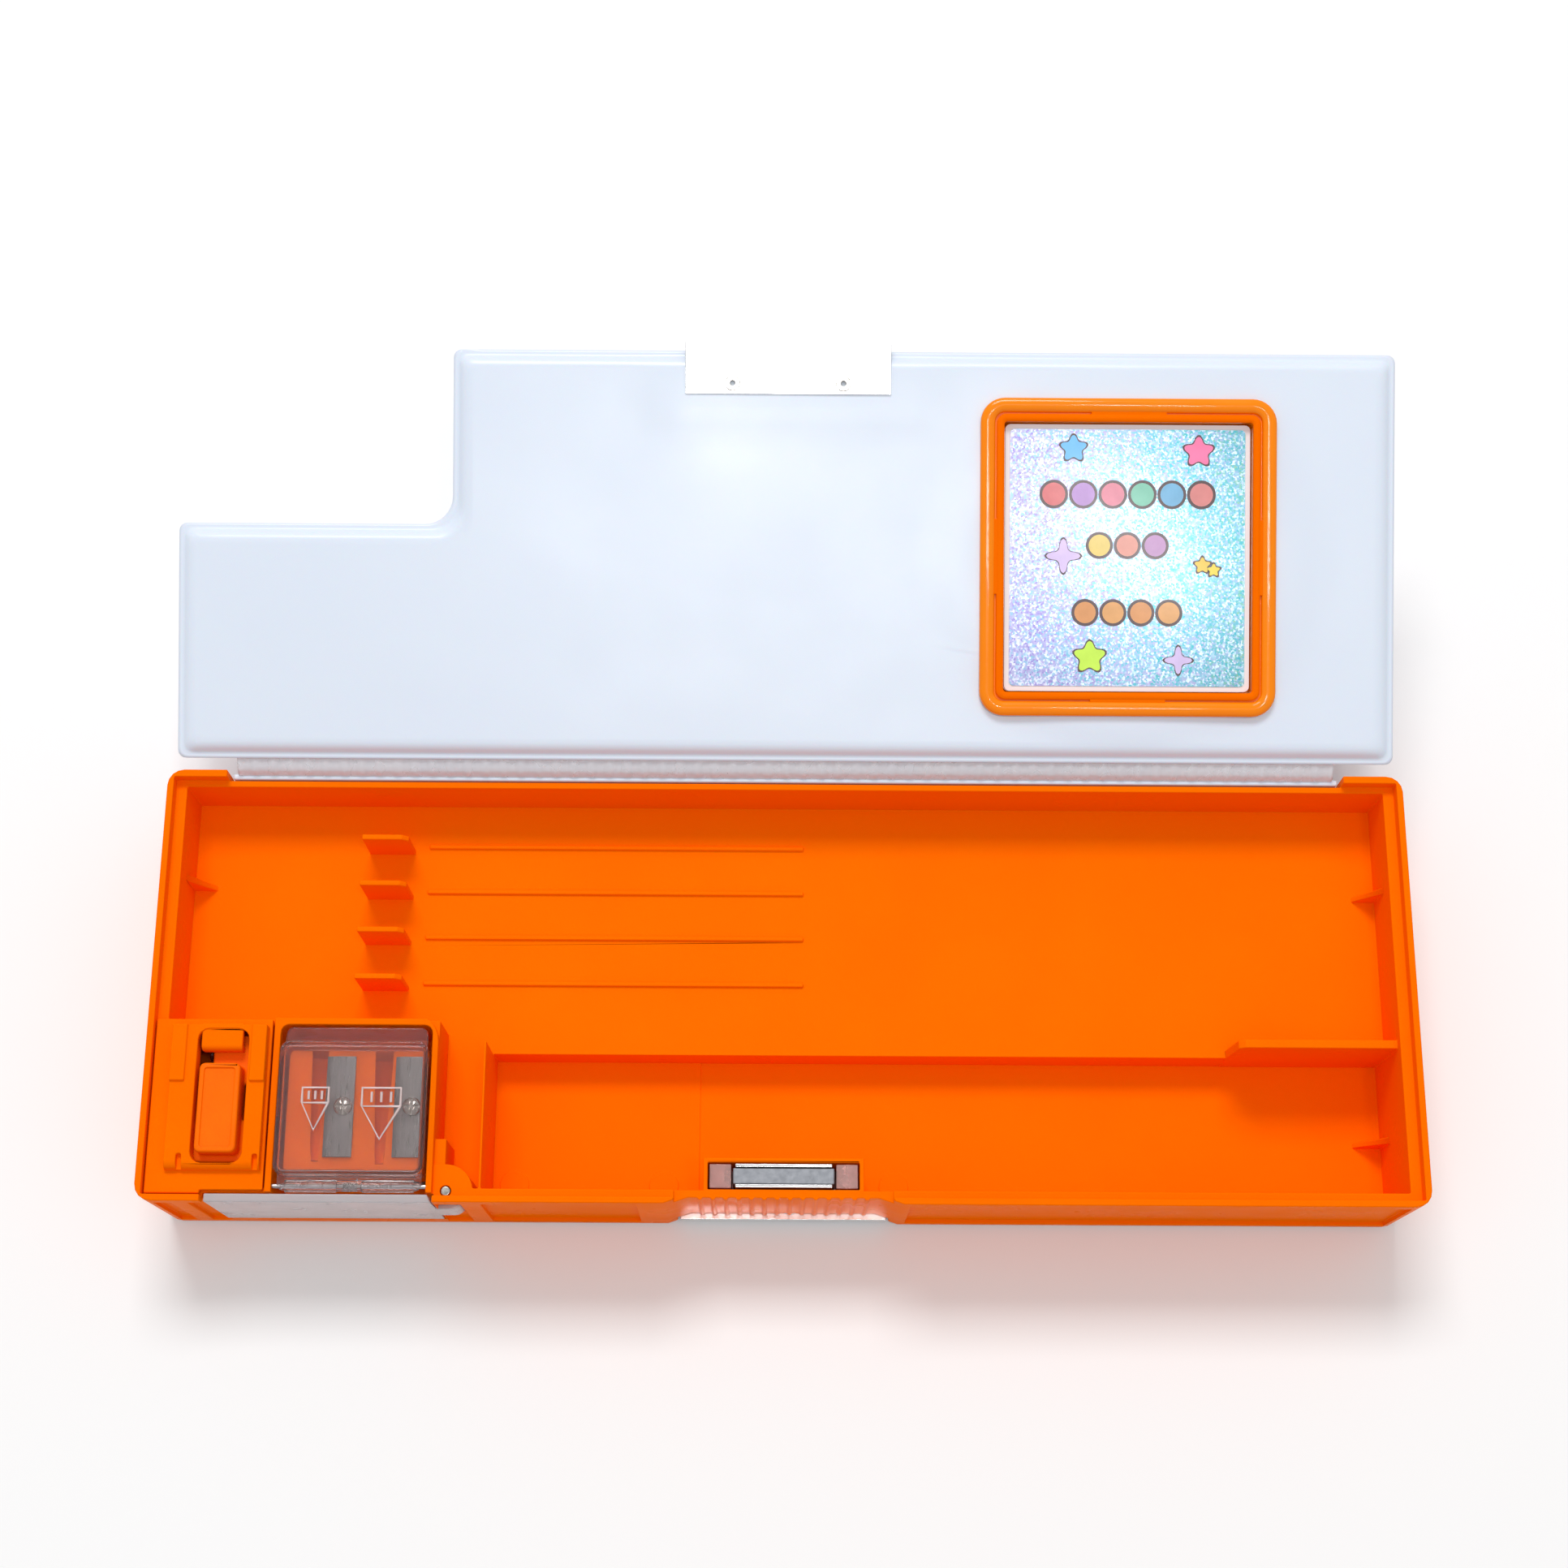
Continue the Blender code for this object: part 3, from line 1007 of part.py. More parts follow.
def make_badge(orange, card, clear):
    """A picture frame through the lid: frame and snap ring inside, window and bezel outside."""
    neck_in = BADGE_FLANGE + WALL
    face = (LID_FACE - BADGE_PROUD, LID_FACE - 0.2 * MM)
    neck_top = CLOSED_TOP - 0.2 * MM
    frame = frame_ring("badge_frame", 0, BADGE_RIM, face, BADGE_CORNER, orange)
    ledge = (face[1] - BADGE_LEDGE, face[1] - 0.1 * MM)
    neck = (face[1] - BADGE_LEDGE / 2, neck_top)
    join(
        frame,
        frame_ring("badge_ledge", BADGE_RIM / 2, neck_in, ledge, BADGE_CORNER),
        frame_ring("badge_neck", BADGE_FLANGE, neck_in - 0.2 * MM, neck, BADGE_CORNER),
    )
    ring_outer = BADGE_RIM + CLEARANCE
    ring_z = (face[0] + BADGE_RING_DROP, face[1] - BADGE_LEDGE - CLEARANCE / 2)
    ring = frame_ring("badge_ring", ring_outer, ring_outer + BADGE_RING, ring_z, BADGE_CORNER, orange)
    card_inset = neck_in + CLEARANCE
    card_z = face[1] + 0.6 * MM
    sheet = rounded(*badge_spans(card_inset), 1 * MM)
    picture = prism("badge_card", sheet, (card_z, card_z + CARD_THICK), card)
    window_low = card_z + CARD_THICK + 1 * MM
    window = prism("badge_window", sheet, (window_low, window_low + WINDOW_THICK), clear)
    bezel_z = (CLOSED_TOP + 0.1 * MM, CLOSED_TOP + BEZEL_PROUD)
    bezel = frame_ring("badge_bezel", 1 * MM, neck_in + 1 * MM, bezel_z, BADGE_CORNER, orange)
    return frame, ring, picture, window, bezel


def ribbon(points, thick):
    """The outline of a strip of even thickness along a path."""
    left, right = [], []
    for i, (u, v) in enumerate(points):
        a, b = points[max(i - 1, 0)], points[min(i + 1, len(points) - 1)]
        du, dv = b[0] - a[0], b[1] - a[1]
        length = (du * du + dv * dv) ** 0.5
        left.append((u - dv / length * thick / 2, v + du / length * thick / 2))
        right.append((u + dv / length * thick / 2, v - du / length * thick / 2))
    return left + right[::-1]


def make_spine(vinyl):
    """The back panel and the two thin strips that the lid and the flap turn on."""
    length = (LEFT + EAR_LENGTH + 0.6 * MM, RIGHT - EAR_LENGTH - 0.6 * MM)
    y = (BACK_FACE + CLEARANCE, BACK_FACE + CLEARANCE + SPINE_THICK)
    middle = sum(y) / 2
    spine = block("spine_panel", length, y, (SHELF_LOW - 0.1 * MM, SHELF_TOP + 0.1 * MM), vinyl)
    end_y, end_z = PANEL_BACK + 0.4 * MM - HINGE_Y, LID_FACE + SKIN / 2 - LID_HINGE_Z
    turned = (HINGE_Y + end_y * cos(LID_OPEN) + end_z * sin(LID_OPEN),
              LID_HINGE_Z - end_y * sin(LID_OPEN) + end_z * cos(LID_OPEN))
    start = (middle, SHELF_TOP + 0.1 * MM + CLEARANCE)
    run = (turned[0] - start[0], turned[1] - start[1])
    path = [(start[0] + run[0] * i / 4, start[1] + run[1] * i / 4) for i in range(5)]
    lid_strip = prism("lid_hinge_strip", ribbon(path, STRIP_THICK), length, vinyl, axis="X")
    apex = (HINGE_Y + 0.2 * MM, FLAP_HINGE_Z - 0.3 * MM)
    bottom = SHELF_LOW - 0.1 * MM - CLEARANCE
    fold = [(middle + 0.1 * MM, bottom), (apex[0], apex[1] + 0.8 * MM), apex]
    fold += [(apex[0] - 0.7 * MM, apex[1] + 0.1 * MM), (PANEL_BACK + 0.4 * MM, PANEL - SKIN / 2 - 0.6 * MM)]
    flap_strip = prism("flap_hinge_strip", ribbon(fold, STRIP_THICK), length, vinyl, axis="X")
    return spine, lid_strip, flap_strip


# ---------------------------------------------------------------- magnets


def make_magnets(clear, ferrite, steel):
    """A clear carrier with a magnet between two pole plates at its top and another set below."""
    half = CARRIER_LENGTH / 2
    y = span_about(MAGNET_Y, CARRIER_DEPTH)
    lid_plate = LID_FACE - PLATE_GAP - PLATE_THICK
    flap_plate = PANEL + PLATE_GAP + PLATE_THICK
    z = (flap_plate + CLEARANCE + CARRIER_DROP, lid_plate - CLEARANCE - CARRIER_DROP)
    carrier = block("magnet_carrier", (-half, half), y, z, clear)
    pocket = grown(span_about(0, MAGNET_LENGTH), CLEARANCE)
    pole_gap = 0.1 * MM
    stack = MAGNET_THICK + 2 * POLE_THICK + 2 * pole_gap
    pocket_y = span_about(MAGNET_Y, stack + 0.2 * MM)
    sets = (("upper", z[1], 1, lid_plate - CLEARANCE), ("lower", z[0], -1, flap_plate + CLEARANCE))
    for name, end, out, tip in sets:
        deep = end - out * (MAGNET_HEIGHT + CLEARANCE)
        cut(carrier, block(f"{name}_pocket", pocket, pocket_y, sorted((deep, end + out * OVERRUN))))
        magnet_z = sorted((tip - out * POLE_PROUD, tip - out * POLE_PROUD - out * (MAGNET_HEIGHT - 0.6 * MM)))
        pole_z = sorted((tip, magnet_z[0] if out > 0 else magnet_z[1]))
        block(f"{name}_magnet", span_about(0, MAGNET_LENGTH), span_about(MAGNET_Y, MAGNET_THICK), magnet_z,
              ferrite)
        side = MAGNET_THICK / 2 + pole_gap
        block(f"{name}_pole_back", span_about(0, MAGNET_LENGTH - 0.9 * MM),
              (MAGNET_Y + side, MAGNET_Y + side + POLE_THICK), pole_z, steel)
        block(f"{name}_pole_front", span_about(0, MAGNET_LENGTH - 0.9 * MM),
              (MAGNET_Y - side - POLE_THICK, MAGNET_Y - side), pole_z, steel)
    return carrier


def main():
    clear_scene()
    orange = finish_material("orange_plastic", (1.0, 0.18, 0.0), 0.35)
    key = finish_material("button_plastic", (1.0, 0.18, 0.0), 0.35)
    clear = finish_material("clear_plastic", (0.85, 0.87, 0.9), 0.1, alpha=0.35)
    steel = finish_material("bright_steel", (0.7, 0.7, 0.7), 0.25, metallic=1.0)
    wire = finish_material("spring_steel", (0.5, 0.5, 0.5), 0.3, metallic=1.0)
    ferrite = finish_material("grey_magnet", (0.25, 0.25, 0.26), 0.6)
    vinyl = finish_material("pale_vinyl", (0.78, 0.83, 0.92), 0.3)
    cardboard = finish_material("grey_board", (0.55, 0.53, 0.5), 0.9)
    glitter = finish_material("glitter_card", (0.5, 0.75, 0.85), 0.25)

    make_tray(orange)
    make_button_housing(orange)
    make_spine(vinyl)
    make_magnets(clear, ferrite, steel)
    pin_low = DRAWER_LOW + 1.2 * MM
    prism("drawer_pin", circle((PIN_X, PIN_Y), PIN_RADIUS, 16), (pin_low, SHELF_TOP), steel)
    prism("sharpener_pivot_pin", circle((BARREL_Y, BARREL_Z), PIVOT_RADIUS, 12),
          (WELL_LEFT - 0.8 * MM, WELL_RIGHT + 0.7 * MM), steel, axis="X")
    lever_y = span_about(FRONT + LEVER_PLACE, LEVER_DEPTH + 3.2 * MM)
    prism("latch_pin", circle((latch_x(), BACK_FLOOR + LEVER_LIFT), LEVER_PIN, 12), lever_y, steel, axis="Y")

    make_button_spring(wire)
    make_pop_spring(wire)

    button = make_button(key)
    middle_x, middle_y = sum(slot_span()) / 2, FRONT + BUTTON_FRONT + BUTTON_DEPTH / 2
    body_axis("button_axis", (middle_x, middle_y, MODULE_TOP), pieces=[button])
    latch = make_latch(orange)
    body_axis("latch_axis", (latch_x(), FRONT + LEVER_PLACE, BACK_FLOOR + LEVER_LIFT), pieces=[latch])

    sharpener = [make_sharpener_body(orange), make_cover(clear)]
    for i, side in enumerate(("left", "right")):
        sharpener.append(make_blade(f"blade_{side}", i, steel))
        sharpener.append(make_screw(f"blade_screw_{side}", i, steel))
    body_axis("sharpener_axis", (0, BARREL_Y, BARREL_Z), pieces=sharpener)

    drawer = make_drawer(clear)
    body_axis("drawer_axis", (PIN_X, PIN_Y, DRAWER_LOW), pieces=[drawer])

    lid = list(make_panel("lid", lid_outline, LID_FACE, 1, vinyl, cardboard))
    badge = make_badge(orange, glitter, clear)
    opening = rounded(*badge_spans(BADGE_FLANGE - CLEARANCE), 2 * MM)
    for layer in lid:
        cut(layer, prism(f"{layer.name}_opening", opening, (LID_FACE - OVERRUN, CLOSED_TOP + OVERRUN)))
    lid.append(make_plate("lid_catch_plate", LID_FACE, 1, steel))
    flap = list(make_panel("flap", flap_outline, PANEL, -1, vinyl, cardboard))
    flap.append(make_plate("flap_catch_plate", PANEL, -1, steel))
    for side, place in zip(("left", "right"), rivet_places()):
        lid.append(make_rivet(f"lid_rivet_{side}", place, LID_FACE, 1, steel))
        flap.append(make_rivet(f"flap_rivet_{side}", place, PANEL, -1, steel))
    body_axis("lid_axis", (0, HINGE_Y, LID_HINGE_Z), turn=-LID_OPEN, pieces=[*lid, *badge])
    body_axis("flap_axis", (0, HINGE_Y, FLAP_HINGE_Z), pieces=flap)


main()
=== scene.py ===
"""Looks of a double-sided pencil case: orange moulded tray, padded white lid and flap, clear sharpener."""

import json
from math import cos, pi, radians, sin

import bmesh
import bpy
from mathutils import Matrix, Vector, noise


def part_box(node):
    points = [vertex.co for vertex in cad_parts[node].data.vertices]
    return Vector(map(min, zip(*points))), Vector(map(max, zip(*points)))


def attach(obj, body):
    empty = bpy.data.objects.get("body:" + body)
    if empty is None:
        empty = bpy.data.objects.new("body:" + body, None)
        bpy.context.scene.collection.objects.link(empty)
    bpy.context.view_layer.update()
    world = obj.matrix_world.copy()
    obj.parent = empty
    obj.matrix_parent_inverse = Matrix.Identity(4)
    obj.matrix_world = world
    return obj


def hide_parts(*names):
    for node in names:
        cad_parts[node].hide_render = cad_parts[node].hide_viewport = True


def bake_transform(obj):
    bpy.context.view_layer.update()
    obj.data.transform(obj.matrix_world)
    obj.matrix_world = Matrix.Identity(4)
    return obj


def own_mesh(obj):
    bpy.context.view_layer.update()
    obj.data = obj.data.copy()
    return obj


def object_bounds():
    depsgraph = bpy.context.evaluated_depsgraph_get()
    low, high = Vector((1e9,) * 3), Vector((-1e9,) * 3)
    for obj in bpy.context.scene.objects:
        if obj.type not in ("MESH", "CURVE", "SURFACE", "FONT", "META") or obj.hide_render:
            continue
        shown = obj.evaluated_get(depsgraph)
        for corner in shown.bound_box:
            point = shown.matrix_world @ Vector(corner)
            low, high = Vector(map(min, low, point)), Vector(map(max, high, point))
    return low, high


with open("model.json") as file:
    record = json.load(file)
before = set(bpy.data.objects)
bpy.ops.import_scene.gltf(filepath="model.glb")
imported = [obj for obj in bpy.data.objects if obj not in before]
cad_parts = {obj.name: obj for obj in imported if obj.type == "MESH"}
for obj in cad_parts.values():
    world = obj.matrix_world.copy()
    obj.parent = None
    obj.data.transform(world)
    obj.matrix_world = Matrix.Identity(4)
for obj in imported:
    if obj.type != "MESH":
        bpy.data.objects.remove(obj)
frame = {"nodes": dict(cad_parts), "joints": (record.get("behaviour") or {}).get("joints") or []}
nodes = frame["nodes"]
joints = {joint["name"]: joint for joint in frame["joints"]}
cad_box = [list(corner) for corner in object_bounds()]
MM = 0.001

# ------------------------------------------------------------------ studio
# A white table in a bright even room, with a broad softbox behind the case and two small lamps
# overhead that show in the badge. The case stands on its bottom flap, just above the table top.
scene = bpy.context.scene
scene.view_settings.view_transform = "Standard"
camera = bpy.data.objects.new("camera", bpy.data.cameras.new("camera"))
scene.collection.objects.link(camera)
camera.location = (-0.00185, -0.10115, 0.4691)
camera.rotation_euler = (radians(17.483), radians(-0.285), radians(0.27))
camera.data.sensor_width = 36
camera.data.lens = 57.04
camera.data.clip_start = 0.01
scene.camera = camera

table = bmesh.new()
bmesh.ops.create_grid(table, x_segments=1, y_segments=1, size=1.6)
table_mesh = bpy.data.meshes.new("table")
table.to_mesh(table_mesh)
table.free()
table_top = bpy.data.objects.new("table", table_mesh)
scene.collection.objects.link(table_top)
table_top.location.z = cad_box[0][2] - 0.2 * MM
table_paint = bpy.data.materials.new("white_table")
table_paint.use_nodes = True
table_paint.node_tree.nodes["Principled BSDF"].inputs["Base Color"].default_value = (0.95, 0.95, 0.95, 1)
table_paint.node_tree.nodes["Principled BSDF"].inputs["Roughness"].default_value = 0.8
table_mesh.materials.append(table_paint)

room = bpy.data.worlds.new("room")
room.use_nodes = True
room.node_tree.nodes["Background"].inputs["Color"].default_value = (1.0, 1.0, 1.0, 1)
room.node_tree.nodes["Background"].inputs["Strength"].default_value = 0.5
scene.world = room
LIT_SPOT = Vector((0, 0.03, 0))


def softbox(name, place, size, watts):
    """A rectangular lamp that points at the middle of the case."""
    lamp = bpy.data.lights.new(name, "AREA")
    lamp.shape = "RECTANGLE"
    lamp.size, lamp.size_y = size
    lamp.energy = watts
    holder = bpy.data.objects.new(name, lamp)
    scene.collection.objects.link(holder)
    holder.location = place
    holder.rotation_euler = (LIT_SPOT - Vector(place)).to_track_quat("-Z", "Y").to_euler()


softbox("softbox_behind", (-0.15, 1.0, 1.6), (0.8, 0.5), 17.0)
softbox("lamp_right", (0.3, -0.26, 1.68), (0.05, 0.16), 1.5)
softbox("lamp_middle", (-0.02, -0.22, 1.68), (0.22, 0.16), 3.0)

# ------------------------------------------------------------------ tray
# One injection moulding in glossy orange styrene, with a fine spark-eroded grain and edges rounded
# by the tool. Everything else is pinned or clipped to it, and the two vinyl covers are glued to its back.


def new_finish(name, colour, roughness, metallic=0.0, **more):
    """A shader with its even values on its own sockets. Keyword names are socket names with underscores."""
    finish = bpy.data.materials.new(name)
    finish.use_nodes = True
    shader = finish.node_tree.nodes["Principled BSDF"]
    shader.inputs["Base Color"].default_value = (*colour, 1)
    shader.inputs["Roughness"].default_value = roughness
    shader.inputs["Metallic"].default_value = metallic
    for socket, value in more.items():
        shader.inputs[socket.replace("_", " ")].default_value = value
    return finish


def grain_noise(finish, scale, detail=2.0, stretch=(1, 1, 1)):
    """Noise in the piece's own space, where the scale is in repeats per metre."""
    tree = finish.node_tree
    place = tree.nodes.new("ShaderNodeTexCoord")
    fit = tree.nodes.new("ShaderNodeMapping")
    fit.inputs["Scale"].default_value = stretch
    grain = tree.nodes.new("ShaderNodeTexNoise")
    grain.inputs["Scale"].default_value = scale
    grain.inputs["Detail"].default_value = detail
    tree.links.new(place.outputs["Object"], fit.inputs["Vector"])
    tree.links.new(fit.outputs["Vector"], grain.inputs["Vector"])
    return grain


def mottle(finish, first, second, scale, stretch=(1, 1, 1)):
    """The colour drifts a little between two tones."""
    tree = finish.node_tree
    blend = tree.nodes.new("ShaderNodeMix")
    blend.data_type = "RGBA"
    blend.inputs["A"].default_value = (*first, 1)
    blend.inputs["B"].default_value = (*second, 1)
    tree.links.new(grain_noise(finish, scale, 3.0, stretch).outputs["Fac"], blend.inputs["Factor"])
    tree.links.new(blend.outputs["Result"], tree.nodes["Principled BSDF"].inputs["Base Color"])


def patchy_gloss(finish, low, high, scale, stretch=(1, 1, 1)):
    """Handling leaves the gloss uneven."""
    tree = finish.node_tree
    span = tree.nodes.new("ShaderNodeMapRange")
    span.inputs["From Min"].default_value = 0.3
    span.inputs["From Max"].default_value = 0.7
    span.inputs["To Min"].default_value = low
    span.inputs["To Max"].default_value = high
    tree.links.new(grain_noise(finish, scale, 3.0, stretch).outputs["Fac"], span.inputs["Value"])
    tree.links.new(span.outputs["Result"], tree.nodes["Principled BSDF"].inputs["Roughness"])


def fine_grain(finish, scale, strength, depth, stretch=(1, 1, 1)):
    tree = finish.node_tree
    bump = tree.nodes.new("ShaderNodeBump")
    bump.inputs["Strength"].default_value = strength
    bump.inputs["Distance"].default_value = depth
    tree.links.new(grain_noise(finish, scale, 4.0, stretch).outputs["Fac"], bump.inputs["Height"])
    tree.links.new(bump.outputs["Normal"], tree.nodes["Principled BSDF"].inputs["Normal"])


def hang_on(name, mesh, finish, body=None):
    """An object for the mesh, with its finish and the body that it moves with."""
    mesh.materials.clear()
    mesh.materials.append(finish)
    piece = bpy.data.objects.new(name, mesh)
    scene.collection.objects.link(piece)
    if body:
        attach(piece, body)
    return piece


def room_at_edges(shape):
    """Each sharp edge with the distance across its faces to the nearest corner that faces it."""
    room = {edge: 1.0 for edge in shape.edges if edge.is_manifold and edge.calc_face_angle() > radians(38)}
    for face in shape.faces:
        for edge in face.edges:
            if edge not in room:
                continue
            start = edge.verts[0].co
            run = edge.verts[1].co - start
            length = run.length
            run.normalize()
            for corner in face.verts:
                along = (corner.co - start).dot(run)
                gap = (corner.co - start - run * along).length
                if -0.01 * MM < along < length + 0.01 * MM and gap > 0.02 * MM:
                    for near in [edge] + [e for e in corner.link_edges if e in room and face in e.link_faces]:
                        room[near] = min(room[near], gap)
    return room


WIDEST_ROUND = 0.42


def rounded_copy(node, finish, body, radius, segments=2):
    """The node's own shape with its edges rounded, as a mould or a tumbling barrel leaves them."""
    shape = bmesh.new()
    shape.from_mesh(nodes[node].data)
    bmesh.ops.remove_doubles(shape, verts=shape.verts, dist=0.002 * MM)
    bmesh.ops.dissolve_limit(shape, angle_limit=radians(0.6), verts=shape.verts, edges=shape.edges)
    for face in shape.faces:
        face.smooth = True
    # No edge is rounded over more than this share of the narrowest face beside it.
    share = shape.edges.layers.float.new("bevel_weight_edge")
    for edge, room in room_at_edges(shape).items():
        edge[share] = min(1, WIDEST_ROUND * room / radius)
    mesh = bpy.data.meshes.new(f"{node}_finished")
    shape.to_mesh(mesh)
    shape.free()
    piece = hang_on(mesh.name, mesh, finish, body)
    edges = piece.modifiers.new("rounded_edges", "BEVEL")
    edges.width = radius
    edges.segments = segments
    edges.limit_method = "WEIGHT"
    edges.use_clamp_overlap = False
    edges.miter_outer = "MITER_ARC"
    flats = piece.modifiers.new("flat_faces", "WEIGHTED_NORMAL")
    flats.keep_sharp = False
    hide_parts(node)
    return piece


orange = new_finish("orange_styrene", (1.0, 0.16, 0.0), 0.3, Subsurface_Weight=0.1, Subsurface_Scale=0.002,
                    Specular_IOR_Level=0.004)
orange.node_tree.nodes["Principled BSDF"].inputs["Subsurface Radius"].default_value = (1.0, 0.35, 0.1)
mottle(orange, (1.0, 0.15, 0.0), (1.0, 0.175, 0.0), 60)
patchy_gloss(orange, 0.24, 0.36, 90)
fine_grain(orange, 2600, 0.25, 0.05 * MM)
tray = rounded_copy("tray", orange, "tray", 0.22 * MM)

# ------------------------------------------------------------------ button and latch
# The housing is a separate orange plate snapped over the mechanism. The key is a softer satin
# moulding with a raised border, and a small steel coil lifts it and shortens as it is pressed.
rounded_copy("button_housing", orange, "tray", 0.28 * MM)
key_plastic = new_finish("key_plastic", (1.0, 0.15, 0.0), 0.36, Subsurface_Weight=0.1, Subsurface_Scale=0.002,
                         Specular_IOR_Level=0.06)
mottle(key_plastic, (1.0, 0.14, 0.0), (1.0, 0.175, 0.0), 200)
patchy_gloss(key_plastic, 0.34, 0.5, 250)
fine_grain(key_plastic, 3200, 0.3, 0.05 * MM)
rounded_copy("push_button", key_plastic, "button", 0.45 * MM, 3)
rounded_copy("latch_lever", key_plastic, "latch", 0.15 * MM)
spring_steel = new_finish("spring_steel", (0.5, 0.5, 0.5), 0.3, 1.0)
mottle(spring_steel, (0.42, 0.42, 0.43), (0.6, 0.6, 0.6), 900)
patchy_gloss(spring_steel, 0.2, 0.42, 700)


def dress(finish, slot, *names):
    """These nodes keep their own shape and take the finish."""
    for node in names:
        nodes[node].data.materials.clear()
        nodes[node].data.materials.append(finish)
        nodes[node].data.shade_smooth()
        nodes[node].data.set_sharp_from_angle(angle=radians(40))


dress(spring_steel, "ground_steel", "pop_spring", "latch_pin", "sharpener_pivot_pin")
coil = hang_on("button_coil", nodes["button_spring"].data.copy(), spring_steel, "tray")
coil.data.shade_smooth()
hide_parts("button_spring")
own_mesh(coil)

# ------------------------------------------------------------------ sharpener
# An orange block with two tapered holes, two ground steel blades held by cross-head screws, and a
# clear hood moulded in one piece with its hinge barrel. The hood carries two raised pencil signs.
rounded_copy("sharpener_body", orange, "sharpener", 0.2 * MM)
# The blade steel is made far darker than bare steel: painted shade for blades that lie in shadow under the
# hood and mirror a dark room.
shade_darkened_blade_steel = new_finish("ground_steel", (0.3, 0.3, 0.31), 0.3, 1.0)
mottle(shade_darkened_blade_steel, (0.2, 0.19, 0.19), (0.3, 0.29, 0.28), 500, (6, 0.3, 1))
patchy_gloss(shade_darkened_blade_steel, 0.25, 0.4, 600, (8, 0.3, 1))
fine_grain(shade_darkened_blade_steel, 2000, 0.3, 0.02 * MM, (8, 0.2, 1))
screw_steel = new_finish("screw_steel", (0.45, 0.43, 0.4), 0.22, 1.0)
mottle(screw_steel, (0.32, 0.3, 0.27), (0.58, 0.56, 0.52), 800)
patchy_gloss(screw_steel, 0.15, 0.35, 700)
for side in ("left", "right"):
    rounded_copy(f"blade_{side}", shade_darkened_blade_steel, "sharpener", 0.05 * MM)
    rounded_copy(f"blade_screw_{side}", screw_steel, "sharpener", 0.08 * MM)

clear = new_finish("clear_styrene", (1.0, 0.95, 0.95), 0.02, Transmission_Weight=0.97, IOR=1.33)
patchy_gloss(clear, 0.0, 0.04, 140)
fine_grain(clear, 260, 0.12, 0.04 * MM)
rounded_copy("sharpener_cover", clear, "sharpener", 0.35 * MM, 3)

# The clear ridges are made pale pinkish white and half opaque: a painted highlight for the light caught on
# their round edges.
sign_ridge_painted_highlight = new_finish("sign_ridge_painted_highlight", (1.0, 0.84, 0.82), 0.1, Transmission_Weight=0.45, IOR=1.5,
                        Coat_Weight=0.5)
patchy_gloss(sign_ridge_painted_highlight, 0.08, 0.2, 400)


def pencil_sign(name, place, width, length, top):
    """A pencil drawn point down in round ridges: a band with short bars, above two lines that meet."""
    x, y = place
    half, band = width / 2, 0.36 * length
    ridges = [
        [(x - half, y - band), (x - half, y), (x + half, y), (x + half, y - band)],
        [(x + half, y - band), (x, y - length), (x - half, y - band), (x + half, y - band)],
    ]
    bars = 3
    for i in range(bars):
        u = x + (i - (bars - 1) / 2) * width / (bars + 1)
        ridges.append([(u, y - 0.22 * band), (u, y - 0.78 * band)])
    line = bpy.data.curves.new(name, "CURVE")
    line.dimensions = "3D"
    line.bevel_depth = 0.24 * MM
    line.bevel_resolution = 2
    line.use_fill_caps = True
    for ridge in ridges:
        run = line.splines.new("POLY")
        run.points.add(len(ridge) - 1)
        for point, (u, v) in zip(run.points, ridge):
            point.co = (u, v, top, 1)
    drawn = bpy.data.objects.new(name, line)
    scene.collection.objects.link(drawn)
    mesh = bpy.data.meshes.new_from_object(drawn)
    bpy.data.objects.remove(drawn)
    mesh.shade_smooth()
    return hang_on(name, mesh, sign_ridge_painted_highlight, "sharpener")


hood_low, hood_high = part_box("sharpener_cover")
sign_y = hood_high.y - 11.6 * MM
for name, across, width, length in (("slim", 6.9, 4.7, 7.6), ("thick", 18.7, 6.9, 9.2)):
    place = (hood_low.x + across * MM, sign_y)
    pencil_sign(f"{name}_pencil_sign", place, width * MM, length * MM, hood_high.z)

# ------------------------------------------------------------------ drawer
# The shavings drawer is moulded in the same clear styrene, slightly frosted by its draw, and turns on
# a plain steel pin pressed into the tray's corner boss.
frosted = new_finish("frosted_styrene", (0.93, 0.9, 0.93), 0.14, Transmission_Weight=0.6, IOR=1.45)
patchy_gloss(frosted, 0.1, 0.24, 160)
fine_grain(frosted, 400, 0.2, 0.04 * MM)
rounded_copy("shavings_drawer", frosted, "drawer", 0.25 * MM)
rounded_copy("drawer_pin", screw_steel, "tray", 0.2 * MM)

# ------------------------------------------------------------------ magnets
# A clear carrier drops into the housing behind the finger notch. It holds a ferrite magnet between two
# bright plates at each end, one pair for the lid and one for the flap.
# The carrier is clear; its pinkish brown tint is painted shade and orange light from the tray seen through
# it.
carrier_painted_shade = new_finish("carrier_styrene_painted_shade", (0.85, 0.5, 0.45), 0.2, Transmission_Weight=0.6, IOR=1.2,
                   Specular_IOR_Level=0.2)
mottle(carrier_painted_shade, (0.8, 0.42, 0.38), (0.9, 0.62, 0.58), 300)
patchy_gloss(carrier_painted_shade, 0.14, 0.3, 300)
rounded_copy("magnet_carrier", carrier_painted_shade, "tray", 0.2 * MM)
ferrite = new_finish("ferrite", (0.2, 0.21, 0.23), 0.42, 0.6)
mottle(ferrite, (0.16, 0.17, 0.19), (0.34, 0.35, 0.38), 900)
patchy_gloss(ferrite, 0.3, 0.55, 800)
fine_grain(ferrite, 1500, 0.5, 0.06 * MM)
bright_plate = new_finish("bright_plate", (0.8, 0.8, 0.79), 0.2, 1.0)
